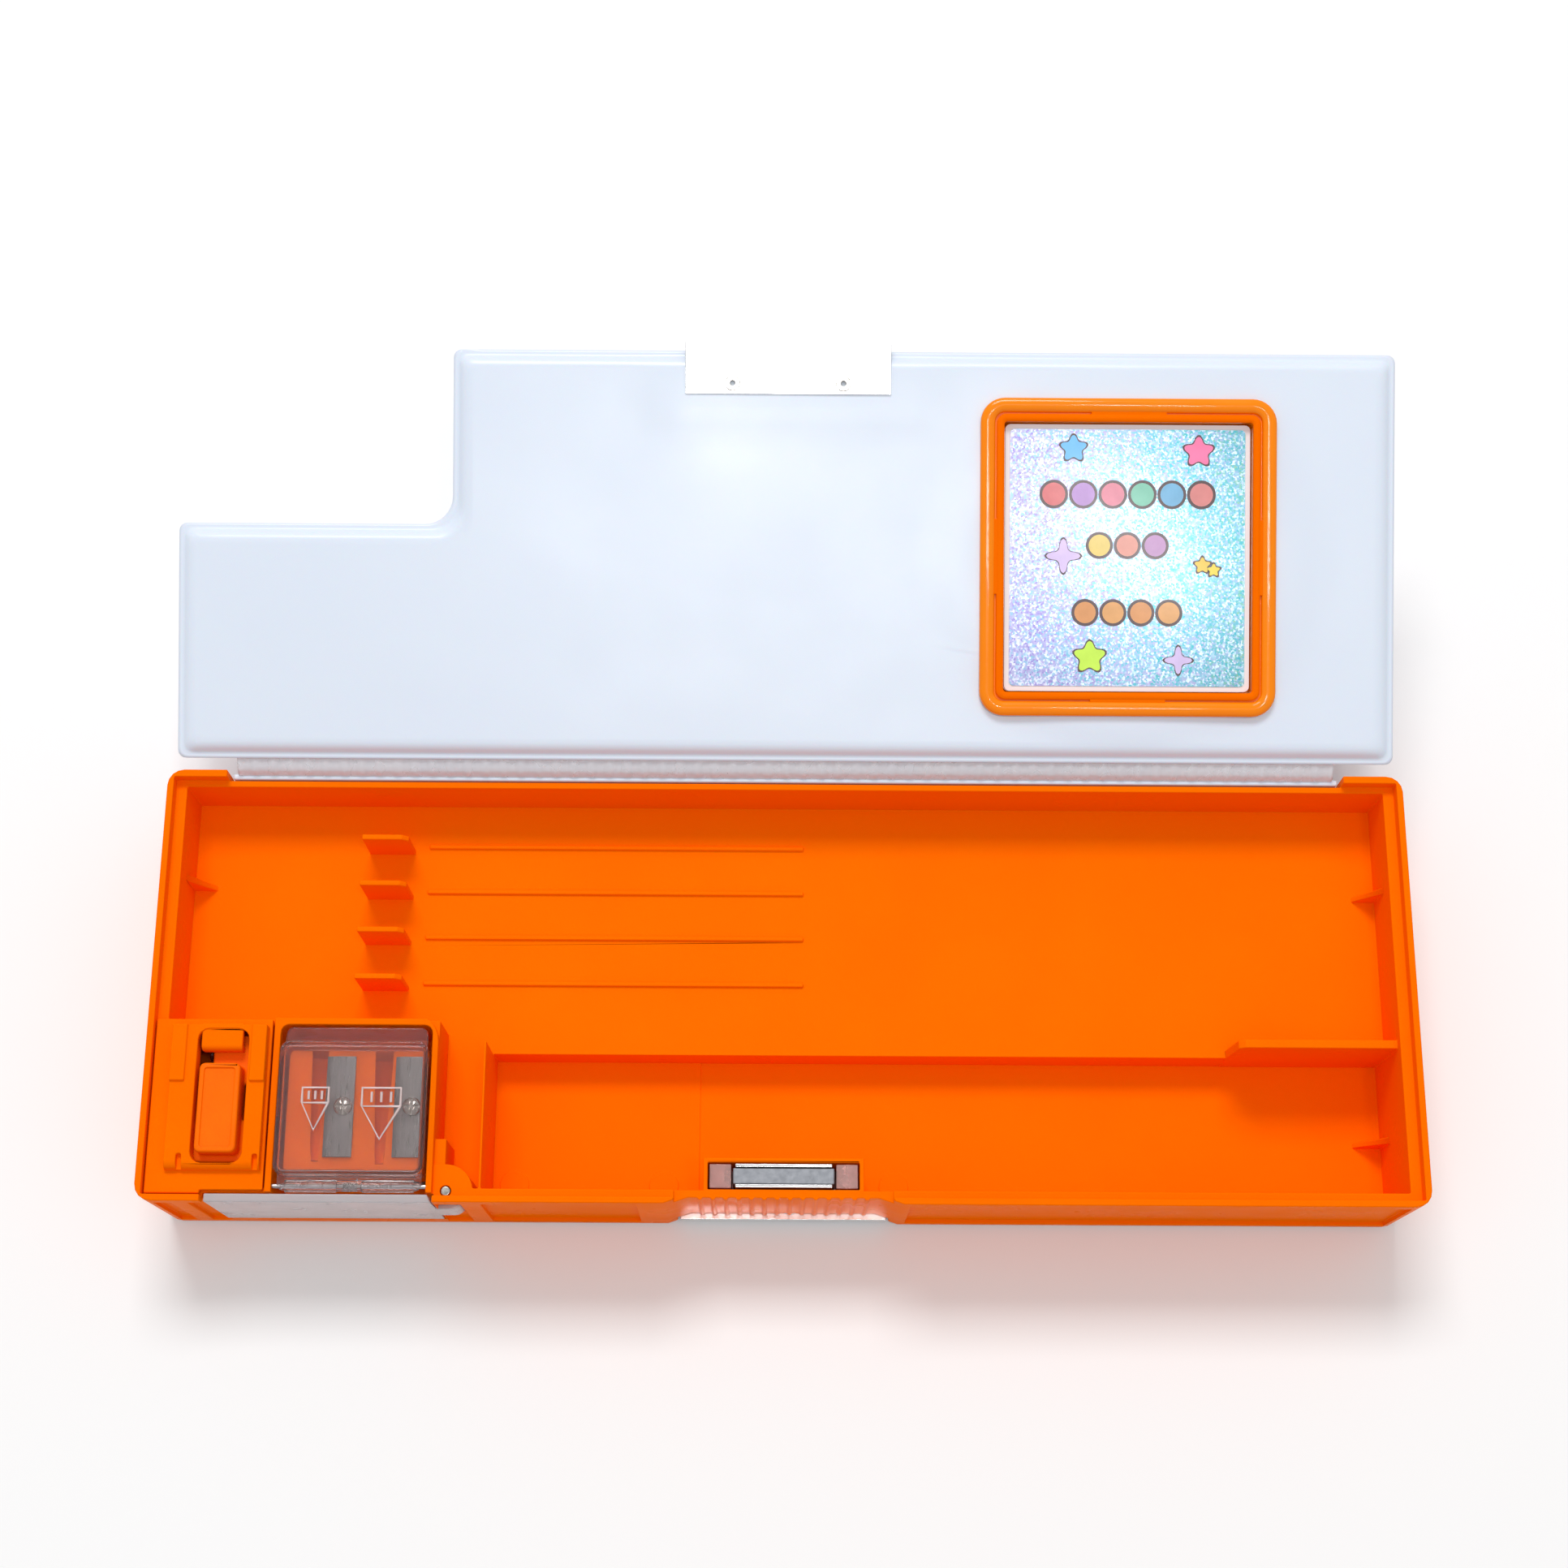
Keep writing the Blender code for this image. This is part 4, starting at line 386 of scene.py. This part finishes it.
mottle(bright_plate, (0.74, 0.75, 0.76), (0.86, 0.86, 0.85), 90, (1, 4, 1))
patchy_gloss(bright_plate, 0.14, 0.28, 140, (1, 6, 1))
fine_grain(bright_plate, 900, 0.1, 0.02 * MM, (0.3, 6, 1))
for end in ("upper", "lower"):
    rounded_copy(f"{end}_magnet", ferrite, "tray", 0.25 * MM)
    rounded_copy(f"{end}_pole_back", bright_plate, "tray", 0.08 * MM)
    rounded_copy(f"{end}_pole_front", bright_plate, "tray", 0.08 * MM)

# ------------------------------------------------------------------ lid
# White vinyl on both sides of a greyboard, welded all round in a flat rim about a millimetre wide.
# The skins are drawn tight over the board's edge and lie a little uneven on its face.
lid_joint = joints["lid_hinge"]
lid_line = Vector(lid_joint["pos_m"])
lid_opened = radians(lid_joint["range_deg"][1])
to_closed = Matrix.Translation(lid_line) @ Matrix.Rotation(lid_opened, 4, "X") @ Matrix.Translation(-lid_line)
to_open = to_closed.inverted()
flap_line = Vector(joints["flap_hinge"]["pos_m"])


def closed_points(node):
    """The node's corners with the lid shut, where its faces are level."""
    return [to_closed @ v.co for v in nodes[node].data.vertices]


def span_of(points):
    lows = Vector([min(p[i] for p in points) for i in range(3)])
    return lows, Vector([max(p[i] for p in points) for i in range(3)])


inner_points = closed_points("lid_inner_skin")
lid_low, lid_high = span_of(inner_points)
lid_face = lid_low.z
lid_mid = (lid_face + span_of(closed_points("lid_outer_skin"))[1].z) / 2
cut_x = min(p.x for p in inner_points if p.y < lid_low.y + 10 * MM)
cut_y = min(p.y for p in inner_points if p.x < lid_low.x + 10 * MM)
CORNER = 1.5 * MM
FILLET = 5.2 * MM


def bend(centre, radius, start, end, steps):
    """Points round a corner, with the angles in degrees."""
    turn = [radians(start + (end - start) * i / steps) for i in range(steps + 1)]
    return [(centre[0] + radius * cos(a), centre[1] + radius * sin(a)) for a in turn]


def lid_edge(inset):
    """The lid's outline with the corner over the sharpener left out, drawn in by an even inset."""
    left, right = lid_low.x + inset, lid_high.x - inset
    front, back = lid_low.y + inset, lid_high.y - inset
    step_x, step_y = cut_x + inset, cut_y + inset
    r = CORNER
    points = bend((right - r, back - r), r, 0, 90, 4) + bend((left + r, back - r), r, 90, 180, 4)
    points += bend((left + r, step_y + r), r, 180, 270, 4)
    points += bend((step_x - FILLET, step_y - FILLET), FILLET, 90, 0, 8)
    points += bend((step_x + r, front + r), r, 180, 270, 4) + bend((right - r, front + r), r, 270, 360, 4)
    return points


badge_low, badge_high = span_of(closed_points("badge_frame"))
plate_low, plate_high = span_of(closed_points("lid_catch_plate"))
WELD = 1.1 * MM
SLOPE = 2.2 * MM
RINGS = [0, 0.5, 1.0, 1.25, 1.6, 2.0, 2.5, 3.1, 4.0]


def loft(inset, half, rim):
    """How far a skin stands off the middle plane at this distance from the edge."""
    t = min(max((inset - WELD) / SLOPE, 0), 1)
    return rim + (half - rim) * (1 - (1 - t) ** 2.2)


def unevenness(x, y, inset, seed, depth):
    """Slow waves in the drawn vinyl, which fade out towards the welded rim."""
    fade = min(max((inset - 2 * MM) / (8 * MM), 0), 1)
    broad = noise.noise(Vector((x * 28, y * 34, seed)))
    fine = noise.noise(Vector((x * 80, y * 95, seed + 7)))
    return depth * fade * (0.75 * broad + 0.25 * fine)


def soft_step(distance, width):
    """Falls from one to nothing where the distance passes zero."""
    t = min(max(0.5 - distance / width, 0), 1)
    return t * t * (3 - 2 * t)


def pads_under(x, y):
    """The vinyl stands up round the catch plate and in a wide ring round the badge."""
    side = max(plate_low.x - 6.3 * MM - x, x - plate_high.x - 10 * MM)
    behind = y - plate_high.y - 6 * MM
    corner = Vector((max(side + 4 * MM, 0), max(behind + 4 * MM, 0))).length - 4 * MM
    centre = Vector(((badge_low.x + badge_high.x) / 2, (badge_low.y + badge_high.y) / 2))
    ring = (Vector((x, y)) - centre).length - 34 * MM
    return 0.3 * MM * soft_step(corner, 3 * MM) + 0.35 * MM * soft_step(ring, 5 * MM)


def edge_distance(x, y, outline):
    """From a point to the nearest side of a closed outline."""
    best = 1.0
    for (ax, ay), (bx, by) in zip(outline, outline[1:] + outline[:1]):
        dx, dy = bx - ax, by - ay
        t = min(max(((x - ax) * dx + (y - ay) * dy) / (dx * dx + dy * dy), 0), 1)
        best = min(best, ((x - ax - t * dx) ** 2 + (y - ay - t * dy) ** 2) ** 0.5)
    return best


def vinyl_skin(name, edge, middle, half, side, window, seed):
    """One skin of a padded cover. Side is -1 for the skin that faces down when closed, +1 for up."""
    shape = bmesh.new()
    loops = []
    for inset in RINGS:
        height = middle + side * loft(inset * MM, half, 0.42 * MM)
        loops.append([shape.verts.new((x, y, height)) for x, y in edge(inset * MM)])
    count = len(loops[0])
    for outer, inner in zip(loops, loops[1:]):
        for i in range(count):
            j = (i + 1) % count
            shape.faces.new((outer[i], outer[j], inner[j], inner[i]))
    centre = shape.faces.new(loops[-1])
    bmesh.ops.triangulate(shape, faces=[centre])
    outline = edge(0)
    low_x, high_x = min(p[0] for p in outline), max(p[0] for p in outline)
    low_y, high_y = min(p[1] for p in outline), max(p[1] for p in outline)
    grid = 3.5 * MM
    cuts = [((low_x + i * grid, 0, 0), (1, 0, 0)) for i in range(1, int((high_x - low_x) / grid))]
    cuts += [((0, low_y + i * grid, 0), (0, 1, 0)) for i in range(1, int((high_y - low_y) / grid))]
    if window:
        cuts += [((x, 0, 0), (1, 0, 0)) for x in window[0]] + [((0, y, 0), (0, 1, 0)) for y in window[1]]
    for place, direction in cuts:
        bmesh.ops.bisect_plane(shape, geom=shape.verts[:] + shape.edges[:] + shape.faces[:],
                               plane_co=place, plane_no=direction, dist=0.001 * MM)
    if window:
        gone = [
            f for f in shape.faces
            if window[0][0] < f.calc_center_median().x < window[0][1]
            and window[1][0] < f.calc_center_median().y < window[1][1]
        ]
        bmesh.ops.delete(shape, geom=gone, context="FACES")
    for vertex in shape.verts:
        x, y = vertex.co.x, vertex.co.y
        depth = edge_distance(x, y, outline)
        vertex.co.z += side * unevenness(x, y, depth, seed, 0.16 * MM)
        if window and side < 0:
            vertex.co.z -= pads_under(x, y) * min(depth / (5 * MM), 1)
    for face in shape.faces:
        face.smooth = True
        face.normal_update()
        if face.normal.z * side < 0:
            face.normal_flip()
    mesh = bpy.data.meshes.new(name)
    shape.to_mesh(mesh)
    shape.free()
    return mesh


def give_thickness(piece, thick):
    """The drawn surface is the outer face, and the sheet lies behind it."""
    sheet = piece.modifiers.new("sheet", "SOLIDIFY")
    sheet.thickness = thick
    sheet.offset = -1


vinyl = new_finish("white_vinyl", (0.76, 0.82, 0.93), 0.34, Subsurface_Weight=0.1, Subsurface_Scale=0.0015,
                   Coat_Weight=0.2, Coat_Roughness=0.2, Specular_IOR_Level=0.35)
mottle(vinyl, (0.745, 0.805, 0.93), (0.775, 0.83, 0.935), 30)
patchy_gloss(vinyl, 0.28, 0.42, 40)
fine_grain(vinyl, 1400, 0.12, 0.03 * MM)
hole = 2.4 * MM
window = ((badge_low.x + hole, badge_high.x - hole), (badge_low.y + hole, badge_high.y - hole))
half = lid_mid - lid_face
for node, side in (("lid_inner_skin", -1), ("lid_outer_skin", 1)):
    mesh = vinyl_skin(f"{node}_vinyl", lid_edge, lid_mid, half, side, window, 3 + side)
    mesh.transform(to_open)
    skin = hang_on(f"{node}_vinyl", mesh, vinyl, "lid")
    give_thickness(skin, 0.35 * MM)
    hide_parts(node)

board = new_finish("greyboard", (0.5, 0.48, 0.45), 0.9)
mottle(board, (0.45, 0.43, 0.4), (0.58, 0.56, 0.52), 700, (1, 0.3, 1))
fine_grain(board, 1500, 0.4, 0.06 * MM, (1, 0.3, 1))
dress(board, "greyboard", "lid_board", "flap_board")
rounded_copy("lid_catch_plate", bright_plate, "lid", 0.1 * MM)
for side in ("left", "right"):
    rounded_copy(f"lid_rivet_{side}", screw_steel, "lid", 0.08 * MM)

# ------------------------------------------------------------------ hinges and spine
# The back of the case is a vinyl-covered board. Thin translucent webs join it to the lid and to the
# flap. They are embossed with a row of small round-cornered cells, which lets them fold.
CELL = 3.3 * MM
spine_low, spine_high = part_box("spine_panel")
web_vinyl = new_finish("web_vinyl", (0.9, 0.92, 0.96), 0.25, Transmission_Weight=0.35, IOR=1.45,
                       Coat_Weight=0.4, Coat_Roughness=0.15)
mottle(web_vinyl, (0.86, 0.89, 0.95), (0.94, 0.95, 0.98), 120)
patchy_gloss(web_vinyl, 0.2, 0.36, 200)
rounded_copy("spine_panel", vinyl, "tray", 0.4 * MM, 3)


def hinge_web(name, node, path):
    """A thin web with embossed cells, along a curved path in the Y-Z plane between two bodies."""
    low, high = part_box(node)
    across, along = 8, len(path) - 1
    cells = int((high.x - low.x) // CELL)
    start = (low.x + high.x - cells * CELL) / 2
    shape = bmesh.new()
    rows = []
    normals = []
    for i, (y, z) in enumerate(path):
        before, after = path[max(i - 1, 0)], path[min(i + 1, along)]
        run = Vector((after[0] - before[0], after[1] - before[1])).normalized()
        normals.append((-run.y, run.x))
    for i, (y, z) in enumerate(path):
        v = i / along
        edge_v = min(v, 1 - v)
        row = []
        for k in range(cells * across + 1):
            u = (k % across) / across
            edge_u = min(u, 1 - u)
            sunk = 0.16 * MM if edge_u > 0.14 and edge_v > 0.12 else 0
            place = (start + k * CELL / across, y - normals[i][0] * sunk, z - normals[i][1] * sunk)
            row.append(shape.verts.new(place))
        rows.append(row)
    for lower, upper in zip(rows, rows[1:]):
        for k in range(cells * across):
            face = shape.faces.new((lower[k], lower[k + 1], upper[k + 1], upper[k]))
            face.smooth = True
    mesh = bpy.data.meshes.new(name)
    shape.to_mesh(mesh)
    shape.free()
    piece = hang_on(name, mesh, web_vinyl)
    give_thickness(piece, 0.3 * MM)
    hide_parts(node)
    return piece


def smooth_path(corners, steps):
    """A smooth run through a few corners."""
    points = []
    last = len(corners) - 1
    for i in range(steps + 1):
        t = i / steps * last
        k = min(int(t), last - 1)
        t -= k
        a, b, c, d = (Vector(corners[min(max(k + j, 0), last)]) for j in (-1, 0, 1, 2))
        bent = (2 * a - 5 * b + 4 * c - d) * t ** 2 + (3 * b - a - 3 * c + d) * t ** 3
        point = b + 0.5 * ((c - a) * t + bent)
        points.append((point.x, point.y))
    return points


middle_y = (spine_low.y + spine_high.y) / 2
lid_end = to_open @ Vector((0, lid_high.y - 0.3 * MM, lid_mid - 0.3 * MM))
corners = [(middle_y, spine_high.z - 0.4 * MM), (middle_y + 0.6 * MM, spine_high.z + 1.4 * MM),
           (lid_end.y - 0.6 * MM, lid_end.z - 0.5 * MM), (lid_end.y, lid_end.z)]
lid_web = hinge_web("lid_hinge_web", "lid_hinge_strip", smooth_path(corners, 10))
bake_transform(lid_web)
flap_end = (lid_high.y - 0.2 * MM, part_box("flap_outer_skin")[0].z + 1.7 * MM)
apex = (flap_line.y + 0.2 * MM, flap_line.z - 0.3 * MM)
corners = [(middle_y + 0.1 * MM, spine_low.z + 0.2 * MM), (apex[0] - 0.1 * MM, apex[1] + 0.9 * MM),
           apex, flap_end]
flap_web = hinge_web("flap_hinge_web", "flap_hinge_strip", smooth_path(corners, 12))
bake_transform(flap_web)

# ------------------------------------------------------------------ flap
# The flap under the case is made as the lid is, without a cut-out, and carries the second catch plate.


def flap_edge(inset):
    low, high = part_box("flap_inner_skin")
    left, right, front, back = low.x + inset, high.x - inset, low.y + inset, high.y - inset
    r = CORNER
    points = bend((right - r, back - r), r, 0, 90, 4) + bend((left + r, back - r), r, 90, 180, 4)
    points += bend((left + r, front + r), r, 180, 270, 4) + bend((right - r, front + r), r, 270, 360, 4)
    return points


flap_low, flap_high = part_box("flap_outer_skin")[0].z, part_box("flap_inner_skin")[1].z
for node, side in (("flap_inner_skin", 1), ("flap_outer_skin", -1)):
    middle = (flap_low + flap_high) / 2
    mesh = vinyl_skin(f"{node}_vinyl", flap_edge, middle, middle - flap_low - 0.1 * MM, side, None, 11 + side)
    skin = hang_on(f"{node}_vinyl", mesh, vinyl, "flap")
    give_thickness(skin, 0.35 * MM)
    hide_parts(node)
rounded_copy("flap_catch_plate", bright_plate, "flap", 0.1 * MM)
for side in ("left", "right"):
    rounded_copy(f"flap_rivet_{side}", screw_steel, "flap", 0.08 * MM)

# ------------------------------------------------------------------ badge
# An orange picture frame clipped through the lid. Its rim is round in section and shines. Inside it a
# snap ring with four tabs holds a card of glitter foil, printed with stars and beads.


def soft_rectangle(low, high, inset, radius, steps=8):
    x0, x1, y0, y1 = low.x + inset, high.x - inset, low.y + inset, high.y - inset
    r = max(radius - inset, 0.6 * MM)
    points = bend((x1 - r, y1 - r), r, 0, 90, steps) + bend((x0 + r, y1 - r), r, 90, 180, steps)
    points += bend((x0 + r, y0 + r), r, 180, 270, steps) + bend((x1 - r, y0 + r), r, 270, 360, steps)
    return points


def framed(name, low, high, radius, profile, finish):
    """A closed section of (inset, height) points carried round a soft rectangle."""
    shape = bmesh.new()
    loops = [
        [shape.verts.new((x, y, height)) for x, y in soft_rectangle(low, high, inset, radius)]
        for inset, height in profile
    ]
    count = len(loops[0])
    for k, loop in enumerate(loops):
        following = loops[(k + 1) % len(loops)]
        for i in range(count):
            j = (i + 1) % count
            shape.faces.new((loop[i], loop[j], following[j], following[i])).smooth = True
    bmesh.ops.recalc_face_normals(shape, faces=shape.faces)
    mesh = bpy.data.meshes.new(name)
    shape.to_mesh(mesh)
    shape.free()
    mesh.set_sharp_from_angle(angle=radians(50))
    mesh.transform(to_open)
    return hang_on(name, mesh, finish, "lid")


FRAME_CORNER = 4.5 * MM
front, back = badge_low.z, badge_high.z
rim = 2.7 * MM
glossy_orange = new_finish("glossy_orange", (1.0, 0.25, 0.0), 0.16, Coat_Weight=0.4, Coat_Roughness=0.03,
                           Specular_IOR_Level=0.1)
mottle(glossy_orange, (1.0, 0.23, 0.0), (1.0, 0.27, 0.0), 120)
patchy_gloss(glossy_orange, 0.12, 0.26, 160)
fine_grain(glossy_orange, 420, 0.35, 0.06 * MM)
arch = 0.75 * MM
profile = [(0.0, lid_face - 0.15 * MM)]
for i in range(11):
    turn = pi * i / 10
    profile.append((rim / 2 * (1 - cos(turn)), front + arch * (1 - sin(turn))))
neck_out, neck_in = 3.3 * MM, 4.35 * MM
profile += [(rim, lid_face - arch), (neck_in, lid_face - arch), (neck_in, back), (neck_out, back),
            (neck_out, lid_face - 0.15 * MM)]
badge_rim = framed("badge_rim", badge_low, badge_high, FRAME_CORNER, profile, glossy_orange)
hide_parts("badge_frame")

ring_low, ring_high = span_of(closed_points("badge_ring"))
section = [(0, ring_high.z), (0, ring_low.z + 0.2 * MM), (0.2 * MM, ring_low.z), (1.1 * MM, ring_low.z),
           (1.4 * MM, ring_low.z + 0.25 * MM), (1.4 * MM, ring_high.z)]
snap_ring = framed("snap_ring", ring_low, ring_high, 1.8 * MM, section, orange)
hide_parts("badge_ring")


def snap_tabs():
    """Four flat tabs that spread the ring into its groove, one in the middle of each side."""
    shape = bmesh.new()
    x, y = (ring_low.x + ring_high.x) / 2, (ring_low.y + ring_high.y) / 2
    long_side, short_side = 7 * MM, 0.75 * MM
    places = [(ring_low.x, y, short_side, long_side), (ring_high.x, y, short_side, long_side),
              (x, ring_low.y, long_side, short_side), (x, ring_high.y, long_side, short_side)]
    for u, v, du, dv in places:
        cube = bmesh.ops.create_cube(shape, size=1)["verts"]
        bmesh.ops.scale(shape, vec=(2 * du, 2 * dv, 0.5 * MM), verts=cube)
        bmesh.ops.translate(shape, vec=(u, v, ring_low.z + 0.35 * MM), verts=cube)
    mesh = bpy.data.meshes.new("snap_tabs")
    shape.to_mesh(mesh)
    shape.free()
    mesh.transform(to_open)
    tabs = hang_on("snap_tabs", mesh, orange, "lid")
    edges = tabs.modifiers.new("rounded_edges", "BEVEL")
    edges.width = 0.15 * MM
    edges.segments = 2


snap_tabs()

foil = new_finish("glitter_foil", (0.6, 0.75, 0.9), 0.22, 0.5, Coat_Weight=0.12, Coat_Roughness=0.1)


def glitter(finish):
    """Fine flakes whose colour runs from lavender silver to teal across the card, with painted glints: random
    flakes lightened towards pale silver in the colour.
    """
    tree = finish.node_tree
    shader = tree.nodes["Principled BSDF"]
    place = tree.nodes.new("ShaderNodeTexCoord")
    flakes = tree.nodes.new("ShaderNodeTexVoronoi")
    flakes.inputs["Scale"].default_value = 3000
    tree.links.new(place.outputs["Object"], flakes.inputs["Vector"])
    tint = tree.nodes.new("ShaderNodeValToRGB")
    tint.color_ramp.interpolation = "LINEAR"
    tones = [(0.0, (0.17, 0.14, 0.36)), (0.25, (0.27, 0.25, 0.42)), (0.5, (0.15, 0.3, 0.42)),
             (0.75, (0.03, 0.28, 0.33)), (1.0, (0.2, 0.34, 0.2))]
    while len(tint.color_ramp.elements) < len(tones):
        tint.color_ramp.elements.new(0.5)
    for element, (position, colour) in zip(tint.color_ramp.elements, tones):
        element.position = position
        element.color = (*colour, 1)
    split = tree.nodes.new("ShaderNodeSeparateXYZ")
    tree.links.new(flakes.outputs["Color"], split.inputs["Vector"])
    across = tree.nodes.new("ShaderNodeSeparateXYZ")
    tree.links.new(place.outputs["Object"], across.inputs["Vector"])
    low_x, high_x = badge_low.x, badge_high.x
    drift = tree.nodes.new("ShaderNodeMapRange")
    drift.inputs["From Min"].default_value = low_x
    drift.inputs["From Max"].default_value = high_x
    drift.inputs["To Min"].default_value = -0.15
    drift.inputs["To Max"].default_value = 0.42
    tree.links.new(across.outputs["X"], drift.inputs["Value"])
    random_part = tree.nodes.new("ShaderNodeMath")
    random_part.operation = "MULTIPLY_ADD"
    random_part.inputs[1].default_value = 0.6
    tree.links.new(split.outputs["X"], random_part.inputs[0])
    tree.links.new(drift.outputs["Result"], random_part.inputs[2])
    tree.links.new(random_part.outputs["Value"], tint.inputs["Fac"])
    # Painted glints: random flakes are mixed towards pale silver in the base colour.
    painted_glints = tree.nodes.new("ShaderNodeMapRange")
    painted_glints.inputs["From Min"].default_value = 0.55
    painted_glints.inputs["From Max"].default_value = 1.0
    painted_glints.inputs["To Min"].default_value = 0.0
    painted_glints.inputs["To Max"].default_value = 0.6
    tree.links.new(split.outputs["Y"], painted_glints.inputs["Value"])
    light = tree.nodes.new("ShaderNodeMix")
    light.data_type = "RGBA"
    light.inputs["B"].default_value = (0.66, 0.72, 0.8, 1)
    tree.links.new(painted_glints.outputs["Result"], light.inputs["Factor"])
    tree.links.new(tint.outputs["Color"], light.inputs["A"])
    tree.links.new(light.outputs["Result"], shader.inputs["Base Color"])
    tilt = tree.nodes.new("ShaderNodeBump")
    tilt.inputs["Strength"].default_value = 0.35
    tilt.inputs["Distance"].default_value = 0.05 * MM
    tree.links.new(split.outputs["Z"], tilt.inputs["Height"])
    tree.links.new(tilt.outputs["Normal"], shader.inputs["Normal"])


glitter(foil)
card_low, card_high = span_of(closed_points("badge_card"))


def flat_piece(name, outline, low, high, finish):
    """A thin flat piece from an outline, on the card."""
    shape = bmesh.new()
    base = [shape.verts.new((x, y, high)) for x, y in outline]
    face_up = shape.faces.new(base)
    drawn = bmesh.ops.extrude_face_region(shape, geom=[face_up])["geom"]
    moved = [v for v in drawn if isinstance(v, bmesh.types.BMVert)]
    bmesh.ops.translate(shape, vec=(0, 0, low - high), verts=moved)
    bmesh.ops.recalc_face_normals(shape, faces=shape.faces)
    mesh = bpy.data.meshes.new(name)
    shape.to_mesh(mesh)
    shape.free()
    mesh.transform(to_open)
    return hang_on(name, mesh, finish, "lid")


border = new_finish("card_border", (0.9, 0.88, 0.9), 0.45)
mottle(border, (0.88, 0.86, 0.89), (0.93, 0.91, 0.93), 300)
card = flat_piece("badge_card_base", soft_rectangle(card_low, card_high, 0, 1 * MM), card_low.z,
                  card_high.z, border)
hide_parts("badge_card")
foil_edge = 0.9 * MM
flat_piece("badge_foil", soft_rectangle(card_low, card_high, foil_edge, 1.8 * MM),
           card_low.z - 0.12 * MM, card_low.z - 0.01 * MM, foil)


def star_outline(x, y, size, points, waist, sharpness):
    """A star with rounded tips."""
    outline = []
    steps = 10 * points
    for i in range(steps):
        phase = points * 2 * pi * i / steps
        reach = waist + (1 - waist) * (0.5 + 0.5 * cos(phase)) ** sharpness
        angle = 2 * pi * i / steps - pi / 2
        outline.append((x + size * reach * cos(angle), y + size * reach * sin(angle)))
    return outline


def ink(name, colour):
    """Printing ink under a thin varnish."""
    paint = new_finish(name, colour, 0.3, Coat_Weight=0.12, Coat_Roughness=0.1)
    mottle(paint, colour, tuple(min(1, c * 1.25 + 0.03) for c in colour), 400)
    return paint


outline_ink = ink("outline_ink", (0.05, 0.012, 0.015))
print_level = card_low.z - 0.13 * MM


def printed(name, edge, dark_edge, finish):
    """A dark outline with the coloured shape on it."""
    under, over = print_level - 0.03 * MM, print_level - 0.035 * MM
    flat_piece(f"{name}_outline", dark_edge, under, print_level, outline_ink)
    flat_piece(name, edge, print_level - 0.09 * MM, over, finish)


lid_back = lid_high.y
# Name, place along the case and up from the lid's back edge and size in millimetres, tips, colour.
STARS = (
    ("blue_star", 53.2, 58.5, 2.5, 5, (0.1, 0.45, 0.9)),
    ("pink_star", 76.5, 58.0, 2.8, 5, (0.9, 0.15, 0.35)),
    ("lilac_spark", 51.4, 38.5, 3.2, 4, (0.62, 0.48, 0.8)),
    ("gold_star", 77.3, 36.9, 1.5, 5, (0.75, 0.5, 0.02)),
    ("small_gold_star", 79.4, 36.0, 1.2, 5, (0.8, 0.62, 0.02)),
    ("lime_star", 56.4, 19.7, 3.0, 5, (0.5, 0.8, 0.02)),
    ("small_lilac_spark", 72.9, 19.2, 2.6, 4, (0.6, 0.48, 0.78)),
)
for name, x, up, size, points, colour in STARS:
    form = (points, 0.64, 1.3) if points == 5 else (points, 0.45, 2.0)
    place = (x * MM, lid_back - up * MM)
    printed(name, star_outline(*place, size * MM, *form), star_outline(*place, (size + 0.4) * MM, *form),
            ink(f"{name}_ink", colour))

# Each row's place up from the lid's back edge and bead radius in millimetres, and its colours.
BEAD_ROWS = (
    (50.0, 2.15, ((0.6, 0.09, 0.1), (0.36, 0.17, 0.5), (0.62, 0.14, 0.22), (0.14, 0.48, 0.34),
                  (0.12, 0.38, 0.62), (0.62, 0.18, 0.17))),
    (40.5, 2.0, ((0.7, 0.5, 0.07), (0.62, 0.2, 0.14), (0.4, 0.18, 0.42))),
    (28.0, 2.0, ((0.62, 0.24, 0.05), (0.66, 0.3, 0.07), (0.62, 0.24, 0.05), (0.66, 0.3, 0.07))),
)
bead_middle = (card_low.x + card_high.x) / 2
for row, (up, size, colours) in enumerate(BEAD_ROWS):
    for i, colour in enumerate(colours):
        place = (bead_middle + (i - (len(colours) - 1) / 2) * (2 * size + 1.2) * MM, lid_back - up * MM)
        printed(f"bead_{row}_{i}", bend(place, size * MM, 0, 345, 23),
                bend(place, (size + 0.55) * MM, 0, 345, 23), ink(f"bead_ink_{row}_{i}", colour))
rounded_copy("badge_window", clear, "lid", 0.15 * MM)
rounded_copy("badge_bezel", glossy_orange, "lid", 0.3 * MM, 3)
